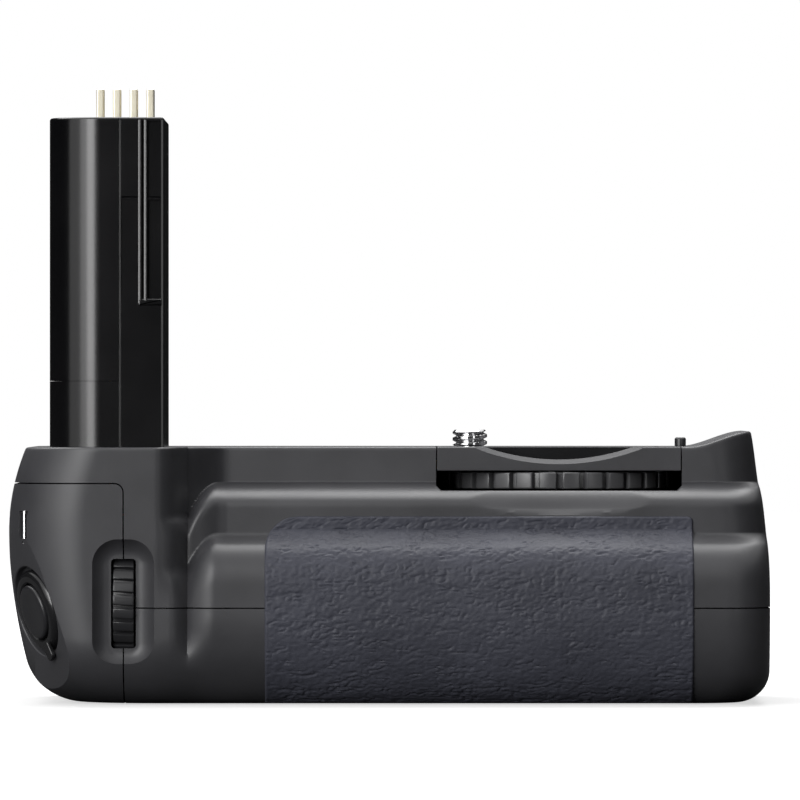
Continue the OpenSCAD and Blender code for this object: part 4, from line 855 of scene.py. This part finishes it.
def build_camera_screw():
    """Quarter-inch screw: neck, thread as one helix, chamfered tip."""
    n, rows, tip, start = 72, 60, 0.4, 0.3
    z0, z1 = SEAT_Z + 0.1, SEAT_Z + 3.1
    points = []
    for k in range(rows + 1):
        z = z0 + (z1 - z0) * k / rows
        for j in range(n):
            phase = ((z - z0) / PITCH - j / n) % 1.0
            tooth = np.clip(1.9 - 4.4 * abs(phase - 0.5), 0.0, 1.0)
            r = THREAD_ROOT_R + (THREAD_R - THREAD_ROOT_R) * float(tooth)
            if z1 - z < tip:
                r = min(r, THREAD_R - tip + (z1 - z))
            r = min(r, THREAD_R - start + (z - z0) * 1.2)
            points.append((*polar(r, TURN * j / n), z))
    low, high = len(points), len(points) + 1
    points += [(0, 0, z0), (0, 0, z1)]
    faces = wall_faces(rows + 1, n)
    for j in range(n):
        faces += [(low, (j + 1) % n, j), (high, rows * n + j, rows * n + (j + 1) % n)]
    screw = make_object("mount_screw_thread", points, faces, THREAD_SHARP)
    join(screw, cylinder("neck", 2.4, 42.3, z0 + 0.3, 48))
    finish_piece(screw, ["camera_screw"], STEEL, THREAD_SHARP, body="mount_screw")


def build_pin():
    foot, flange, neck_low, neck, top = 43.3, 44.3, SEAT_Z - 0.4, SEAT_Z + 0.1, SEAT_Z + 1.7
    neck_r = PIN_R - 0.2
    profile = [(0, foot), (2.6, foot), (2.6, flange), (PIN_SHOULDER_R, flange), (PIN_SHOULDER_R, neck_low),
               (neck_r, neck_low), (neck_r, neck), (PIN_R, neck), (PIN_R, top - 0.35),
               (PIN_R - 0.12, top - 0.12), (PIN_R - 0.35, top), (0, top)]
    pin = place(lathe("seat_pin", profile, 48), at(*PIN, 0))
    finish_piece(pin, ["locating_pin"], CONTROL)


# Rubber pads

def lattice_noise(x, z, across, up, seed):
    """Smooth noise from 0 to 1 with cells of the given size in millimetres."""
    table = np.random.default_rng(seed).random((256, 256))
    u, v = x / across + 64.0, z / up + 64.0
    i, j = np.floor(u).astype(int), np.floor(v).astype(int)
    a, b = smooth(u - i), smooth(v - j)
    i, j = i % 255, j % 255
    low = table[i, j] * (1 - a) + table[i + 1, j] * a
    high = table[i, j + 1] * (1 - a) + table[i + 1, j + 1] * a
    return low * (1 - b) + high * b


def wrinkle(x, z):
    """Depth of the pad's creases from 0 to 1: thin lines that run mostly across, over a fine grain."""
    shift = 0.9 * lattice_noise(x, z, 1.6, 0.8, 3)
    crease = np.abs(2.0 * lattice_noise(x + shift, z + 0.5 * shift, 1.25, 0.55, 5) - 1.0)
    patch = smooth(1.8 * lattice_noise(x, z, 2.6, 1.2, 11) - 0.4)
    grain = lattice_noise(x, z, 0.6, 0.42, 8)
    return 0.6 * patch * np.clip(1.0 - crease / 0.45, 0.0, 1.0) + 0.4 * grain


def pad_y(x, z):
    """Surface under the pad, with its own softness of the steps."""
    return front_y(x, z, 0.0, False, PAD_SOFT)


def pad_rows(count):
    """Heights of the pad's rows, evenly spaced along its profile, and how far along it each lies."""
    z = np.linspace(PAD_Z0, PAD_Z1, 2000)
    y = pad_y(0.0 * z, z)
    along = np.concatenate([[0.0], np.cumsum(np.hypot(np.diff(y), np.diff(z)))])
    stops = np.linspace(0.0, along[-1], count + 1)
    return zip(np.interp(stops, along, z), stops)


def pad_slopes(x, z):
    """Slopes of the pad's surface along x and z."""
    h = 0.02
    across = pad_y(x + h, z) - pad_y(x - h, z)
    up = pad_y(x, z + h) - pad_y(x, z - h)
    return across / (2 * h), up / (2 * h)


def pad_faces(nx, nz, count):
    """Faces of a sheet of nx by nz cells, of its back, whose points come count later, and of its edge."""
    m = nx + 1
    faces = []
    for k in range(nz):
        for j in range(nx):
            quad = [k * m + j, k * m + j + 1, (k + 1) * m + j + 1, (k + 1) * m + j]
            faces += [tuple(quad), tuple(count + a for a in reversed(quad))]
    edge = list(range(m)) + [k * m + nx for k in range(1, nz + 1)]
    edge += [nz * m + j for j in range(nx - 1, -1, -1)] + [k * m for k in range(nz - 1, 0, -1)]
    for a, b in zip(edge, edge[1:] + edge[:1]):
        faces.append((b, a, count + a, count + b))
    return faces


def build_front_pad():
    """Thin wrinkled skin on the front, with a large round upper left corner and thinned edges."""
    u = np.linspace(0.0, 1.0, PAD_COLUMNS + 1)
    front, rear = [], []
    for z, along in pad_rows(PAD_ROWS):
        left = PAD_X0 + float(round_in(PAD_Z1 - z, PAD_ROUND))
        right = PAD_X1 - float(round_in(PAD_Z1 - z, PAD_RIGHT_ROUND))
        x = left + (right - left) * u
        z_row = np.full_like(x, z)
        edge = np.minimum(np.minimum(x - left, right - x), np.minimum(PAD_Z1 - z, z - PAD_Z0 + 0.12))
        inner = np.clip(edge / PAD_EDGE, 0.0, 1.0)
        thick = PAD_EDGE_T + (PAD_T - PAD_EDGE_T) * np.sqrt(np.clip(1 - (1 - inner) ** 2, 0.0, 1.0))
        thick = thick - CREASE_DEPTH * inner * wrinkle(x, np.full_like(x, along))
        across, up = pad_slopes(x, z_row)
        thick = thick / np.sqrt(1 + across ** 2 + up ** 2)
        front.append(np.stack([x + thick * across, pad_y(x, z_row) - thick, z_row + thick * up], 1))
        rear.append(np.stack([x, front_y(x, z_row, 0.0, False) - 0.05, z_row], 1))
    front, rear = np.concatenate(front), np.concatenate(rear)
    front[:, 2] = np.maximum(front[:, 2], 0.02)
    faces = pad_faces(PAD_COLUMNS, PAD_ROWS, len(front))
    pad = make_object("front_pad_skin", np.concatenate([front, rear]), faces, PAD_SHARP)
    finish_piece(pad, ["front_grip_pad"], RUBBER)


def build_small_pads():
    outline = centred_rect(0, 0, THUMB_W, THUMB_H, THUMB_ROUND)
    thumb = place(prism("thumb_pad_skin", outline, 0.05, THUMB_T, 0.3, 0.0), at(*THUMB_PAD, TO_BACK))
    finish_piece(thumb, ["rear_thumb_pad"], RUBBER)
    outline = round_rect(-BASE_PAD_X, BASE_PAD_X, -BASE_PAD_Y, BASE_PAD_Y, [1.4] * 4)
    base = prism("base_pad_skin", outline, 0.0, BASE_PAD_T, 0.0, 0.15)
    cut(base, cylinder("cut", BASE_HOLE_R, -1, 2, 96))
    for k in range(-9, 10):
        if abs(k) > 2:
            x = k * TREAD_PITCH
            cut(base, box((x - TREAD_HALF, -TREAD_REACH, -1), (x + TREAD_HALF, TREAD_REACH, TREAD_DEPTH)))
    finish_piece(base, ["base_pad"], RUBBER, SHARP)


# Dials

def build_dials():
    for name, r, teeth, centre in (("front_dial", DIAL_R, DIAL_TEETH, (END_X, DIAL_Y, DIAL_Z)),
                                   ("rear_dial", REAR_DIAL_R, REAR_DIAL_TEETH, REAR_DIAL)):
        dial = grip_ring(name + "_rim", r, 0.8, teeth, DIAL_W / 2, share=0.72, bevel=0.3, slant=0.004)
        cut(dial, cylinder("cut", 1.25, -5, 5, 48))
        for side in (-1, 1):
            cut(dial, ring_groove(3.0, r - 2.4, side * DIAL_W / 2, 0.4))
        place(dial, at(*centre, ALONG_X))
        finish_piece(dial, [name], CONTROL, TOOTH_SHARP, body=name)


# Shutter release, strap bar, rear button and latch

def build_release():
    frame_in = release_matrix()
    wall_s, top = RECESS_S - WALL, RELEASE_TOP
    low, high = wall_s - 1.2, wall_s - 0.1
    flange = [(0, low), (FLANGE_R, low), (FLANGE_R, high), (RELEASE_R, high)]
    edge = [(RELEASE_R, top - RELEASE_ROUND)]
    edge += rim(RELEASE_R, top, RELEASE_ROUND, np.linspace(0.25, QUARTER, 6))
    hollow = [(3.4, top - 0.03), (2.2, top - 0.1), (0, top - 0.14)]
    button = place(lathe("release_button", flange + edge + hollow, 96), frame_in)
    finish_piece(button, ["shutter_button"], CONTROL, body="shutter")

    low, inner = RECESS_S + 0.1, RELEASE_R + 0.3
    high = low + COLLAR_H
    section = [(inner, low), (COLLAR_R, low)]
    section += rim(COLLAR_R, high, COLLAR_ROUND, np.linspace(0.0, QUARTER, 9))
    section += [(RELEASE_R + 0.6, high), (inner, high - 0.3)]
    collar = ring_lathe("lock_ring_collar", section, 128)
    tab_outline = round_rect(6.4, 9.6, -1.2, 1.2, [0.2, 0.8, 0.8, 0.2])
    tab = prism("tab", tab_outline, FACET_S + 0.2, FACET_S + 1.0, 0.2)
    join(collar, place(tab, about_z(TAB_TURN)))
    place(collar, frame_in)
    finish_piece(collar, ["lock_collar"], GLOSS, SHARP, body="lock_ring")


def build_back_controls():
    bar = place(strap_rod("strap_rod", STRAP_R), strap_matrix())
    finish_piece(bar, ["strap_bar"], STEEL)

    y1, r = BODY_BACK - WALL - 0.1, REAR_BUTTON_R
    profile = [(0, y1 - 1.2), (4.0, y1 - 1.2), (4.0, y1), (r, y1), (r, 31.5), (3.08, 31.78), (2.8, 31.9),
               (1.6, 31.82), (0, 31.78)]
    button = place(lathe("rear_button_cap", profile), at(REAR_BUTTON_X, 0, REAR_BUTTON_Z, TO_BACK))
    finish_piece(button, ["rear_button"], CONTROL, body="rear_button")

    x, z = (COVER_X0 + COVER_X1) / 2, (COVER_Z0 + COVER_Z1) / 2
    outline = centred_rect(0, 0, COVER_X1 - COVER_X0, COVER_Z1 - COVER_Z0, COVER_ROUND)
    cover = place(prism("tray_door", outline, COVER_Y0, BODY_BACK, 0.35, 0.1), at(x, 0, z, TO_BACK))
    key_place, outside = at(KEY_X, 0, KEY_Z, TO_BACK), 60.0
    cut(cover, place(cylinder("cut", KEY_STEM_R + 0.05, 0, outside), key_place))
    cut(cover, place(cylinder("cut", KEY_HEAD_R + 0.4, 29.5, outside), key_place))
    grip = prism("cut", round_rect(-9, 9, -1.1, 1.1, [1.0] * 4), 30.5, outside)
    cut(cover, place(grip, at(x, 0, COVER_Z1 - 4.0, TO_BACK)))
    finish_piece(cover, ["tray_cover"], CASE, SHARP, body="tray")

    stem, head = KEY_STEM_R, KEY_HEAD_R
    key = lathe("latch_knob", [(0, 26.1), (stem, 26.1), (stem, 29.6), (head, 29.6), (head, 30.2),
                               (head - 0.2, 30.4), (0, 30.4)])
    join(key, prism("bar", round_rect(-0.8, 0.8, -3.2, 3.2, [0.7] * 4), 30.2, 31.3, 0.25))
    place(key, key_place)
    finish_piece(key, ["latch_key"], CONTROL, SHARP, body="latch")


# Base

def build_base():
    r, flange = SOCKET_R, SOCKET_FLANGE_R
    socket = lathe("base_socket", [(0, 0.0), (r, 0.0), (r, 2.2), (flange, 2.2), (flange, 3.4), (r, 3.4),
                                   (r, SOCKET_TOP), (0, SOCKET_TOP)], 96)
    bore = [(THREAD_ROOT_R + 0.28 * (k % 2), -0.2 + 0.5 * PITCH * k) for k in range(9)]
    mouth = [(0, -0.5), (3.1, -0.5), (3.1, 0.0)]
    thread = [(radius, z) for radius, z in bore if 0.3 < z < SOCKET_DEPTH]
    cut(socket, lathe("cut", mouth + thread + [(THREAD_ROOT_R, SOCKET_DEPTH), (0, SOCKET_DEPTH)]))
    finish_piece(socket, ["tripod_socket"], STEEL, SHARP)
    profile = [(0, 0.6), (1.9, 0.6), (2.1, 0.75), (2.1, SINK_Z), (1.1, SINK_Z), (1.1, 24.0), (0, 24.0)]
    for k, (x, y) in enumerate(CASE_SCREWS):
        screw = lathe("case_screw_%d" % k, profile, 40)
        for turn in (0, 90):
            cut(screw, place(box((-1.2, -0.25, 0), (1.2, 0.25, 1.3)), about_z(turn)))
        place(screw, at(x, y, 0))
        finish_piece(screw, ["case_screws"], DARK_STEEL, SHARP)


# Inner pieces keep the part's own solids, with finishes and softened edges

KEPT = {
    STEEL: ["tower_plate", "wheel_axle", "front_bracket", "rear_bracket", "latch_cam"],
    DARK_STEEL: ["tower_screws"],
    BLACK_STEEL: ["chassis_plate", "cover_screws"],
    INNER: ["contact_block", "front_encoder", "rear_encoder", "shutter_switch", "rear_switch",
            "battery_chamber", "chamber_roof", "battery_tray"],
    BRASS: ["wheel_gear", "screw_gear"],
    GOLD: ["tray_contacts"],
    BOARD: ["shutter_board", "left_board", "main_board"],
    FLEX: ["tower_flex"],
    PACK: ["battery_packs"],
}
WELD_GAP, EDGE_ROUND, PACK_ROUND, EDGE_ANGLE = 0.001, 0.1, 0.3, 40.0


def dress_kept_nodes():
    for mat, names in KEPT.items():
        for name in names:
            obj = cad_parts[name]
            obj.data.materials.clear()
            obj.data.materials.append(mat)
            weld = obj.modifiers.new("weld", "WELD")
            weld.merge_threshold = WELD_GAP * MM
            bevel = obj.modifiers.new("edges", "BEVEL")
            bevel.width = (PACK_ROUND if mat is PACK else EDGE_ROUND) * MM
            bevel.segments = 2
            bevel.limit_method = "ANGLE"
            bevel.angle_limit = math.radians(EDGE_ANGLE)
            bevel.harden_normals = True


# Camera, light and stage

PIXELS_PER_MM, CENTRE_X, BASE_Y, IMAGE = 5.52, 471.0, 704.0, 800.0
CAMERA_Y, FOCUS_Y, SENSOR = -1830.0, -30.0, 36.0
FLOOR_Z, FLOOR_HALF = -0.2, 3000.0
FADE_NEAR, FADE_FAR, FADE_LEAST = 0.1, 0.35, 0.62
CURTAIN_SIDES, CURTAIN_R, CURTAIN_H = 48, 2600.0, 1500.0
WORLD_TINT, WORLD_STRENGTH = (0.8, 0.82, 0.86, 1.0), 0.15
FLOOR_COLOR, FLOOR_ROUGHNESS = (0.6, 0.6, 0.6, 1.0), 0.8

# Lamps: name, position, width and height in metres, power in watts
LAMP_TARGET = (-0.015, -0.01, 0.05)
LAMPS = [("overhead", (-0.05, 0.3, 0.75), 0.9, 0.8, 10.0),
         ("left_front", (-0.46, -0.95, 0.3), 0.32, 0.8, 7.0),
         ("left_middle", (-0.7, -0.79, 0.3), 0.28, 0.8, 2.6),
         ("left_side", (-0.94, -0.5, 0.3), 0.5, 0.8, 1.5),
         ("right_front", (0.5, -0.95, 0.2), 0.16, 0.8, 1.0)]


def build_camera():
    camera = bpy.data.cameras.new("camera")
    camera.sensor_width = SENSOR
    camera.lens = SENSOR * (FOCUS_Y - CAMERA_Y) / (IMAGE / PIXELS_PER_MM)
    camera.clip_start, camera.clip_end = 0.01, 20.0
    obj = bpy.data.objects.new("camera", camera)
    obj.location = ((IMAGE / 2 - CENTRE_X) / PIXELS_PER_MM * MM, CAMERA_Y * MM,
                    (BASE_Y - IMAGE / 2) / PIXELS_PER_MM * MM)
    obj.rotation_euler = (math.radians(90), 0, 0)
    bpy.context.scene.collection.objects.link(obj)
    bpy.context.scene.camera = obj


def area_light(name, position, width, height, power):
    light = bpy.data.lights.new(name, "AREA")
    light.shape = "RECTANGLE"
    light.size, light.size_y = width, height
    light.energy = power
    obj = bpy.data.objects.new(name, light)
    obj.location = position
    obj.rotation_euler = (Vector(LAMP_TARGET) - Vector(position)).to_track_quat("-Z", "Y").to_euler()
    bpy.context.scene.collection.objects.link(obj)


def seen_directly(tree):
    """1 for what the camera sees directly, in a mirror or through glass, and 0 for the light that falls."""
    path = new_node(tree, "LightPath")
    total = path.outputs["Is Camera Ray"]
    for name in ("Is Glossy Ray", "Is Transmission Ray"):
        total = math_node(tree, "MAXIMUM", total, path.outputs[name])
    return total


def build_world():
    world = bpy.data.worlds.new("studio")
    world.use_nodes = True
    bpy.context.scene.world = world
    tree = world.node_tree
    tree.nodes.clear()
    fill = new_node(tree, "Background", Color=WORLD_TINT, Strength=WORLD_STRENGTH)
    white = new_node(tree, "Background", Color=(1.0, 1.0, 1.0, 1.0))
    mix = new_node(tree, "MixShader", Fac=seen_directly(tree))
    tree.links.new(fill.outputs["Background"], mix.inputs[1])
    tree.links.new(white.outputs["Background"], mix.inputs[2])
    new_node(tree, "OutputWorld", Surface=mix.outputs["Shader"])


def build_floor():
    """Pale floor that keeps the object's shadow near it and fades to white further out."""
    corners = [(x * FLOOR_HALF, y * FLOOR_HALF, FLOOR_Z) for x, y in ((-1, -1), (1, -1), (1, 1), (-1, 1))]
    floor = make_object("floor", corners, [(0, 1, 2, 3)])
    mat = bpy.data.materials.new("pale_floor")
    mat.use_nodes = True
    tree = mat.node_tree
    shader = set_inputs(tree, tree.nodes["Principled BSDF"], Base_Color=FLOOR_COLOR,
                        Roughness=FLOOR_ROUGHNESS)
    length = new_node(tree, "VectorMath", Vector=new_node(tree, "TexCoord").outputs["Object"])
    length.operation = "LENGTH"
    fade = new_node(tree, "MapRange", From_Min=FADE_NEAR, From_Max=FADE_FAR, To_Min=FADE_LEAST,
                    Value=length.outputs["Value"])
    fade.interpolation_type = "SMOOTHSTEP"
    strength = math_node(tree, "MULTIPLY", seen_directly(tree), fade.outputs["Result"])
    glow = new_node(tree, "Emission", Strength=strength)
    both = new_node(tree, "AddShader")
    tree.links.new(shader.outputs["BSDF"], both.inputs[0])
    tree.links.new(glow.outputs["Emission"], both.inputs[1])
    set_inputs(tree, tree.nodes["Material Output"], Surface=both.outputs["Shader"])
    floor.data.materials.append(mat)


def build_curtain():
    """Dark cloth round and under the set, which the camera and the lamps pass, for depth in black plastic."""
    n = CURTAIN_SIDES
    ring = [polar(CURTAIN_R, TURN * k / n) for k in range(n)]
    points = [(x, y, z) for z in (FLOOR_Z / 2, CURTAIN_H) for x, y in ring]
    faces = wall_faces(2, n) + [tuple(range(n))]
    curtain = make_object("curtain", points, faces)
    cloth = material("curtain_cloth", (0.02, 0.02, 0.021), 0.9, grain=0.4, grain_size=3.0)
    curtain.data.materials.append(cloth)
    curtain.visible_camera = False
    curtain.visible_shadow = False


def build_stage():
    build_world()
    build_floor()
    build_curtain()
    for lamp in LAMPS:
        area_light(*lamp)


def main():
    build_shells()
    build_tower()
    build_wheel_cover()
    build_thumbwheel()
    build_camera_screw()
    build_pin()
    build_front_pad()
    build_small_pads()
    build_dials()
    build_release()
    build_back_controls()
    build_base()
    dress_kept_nodes()
    build_camera()
    build_stage()
    bpy.context.scene.view_settings.view_transform = "Standard"


main()
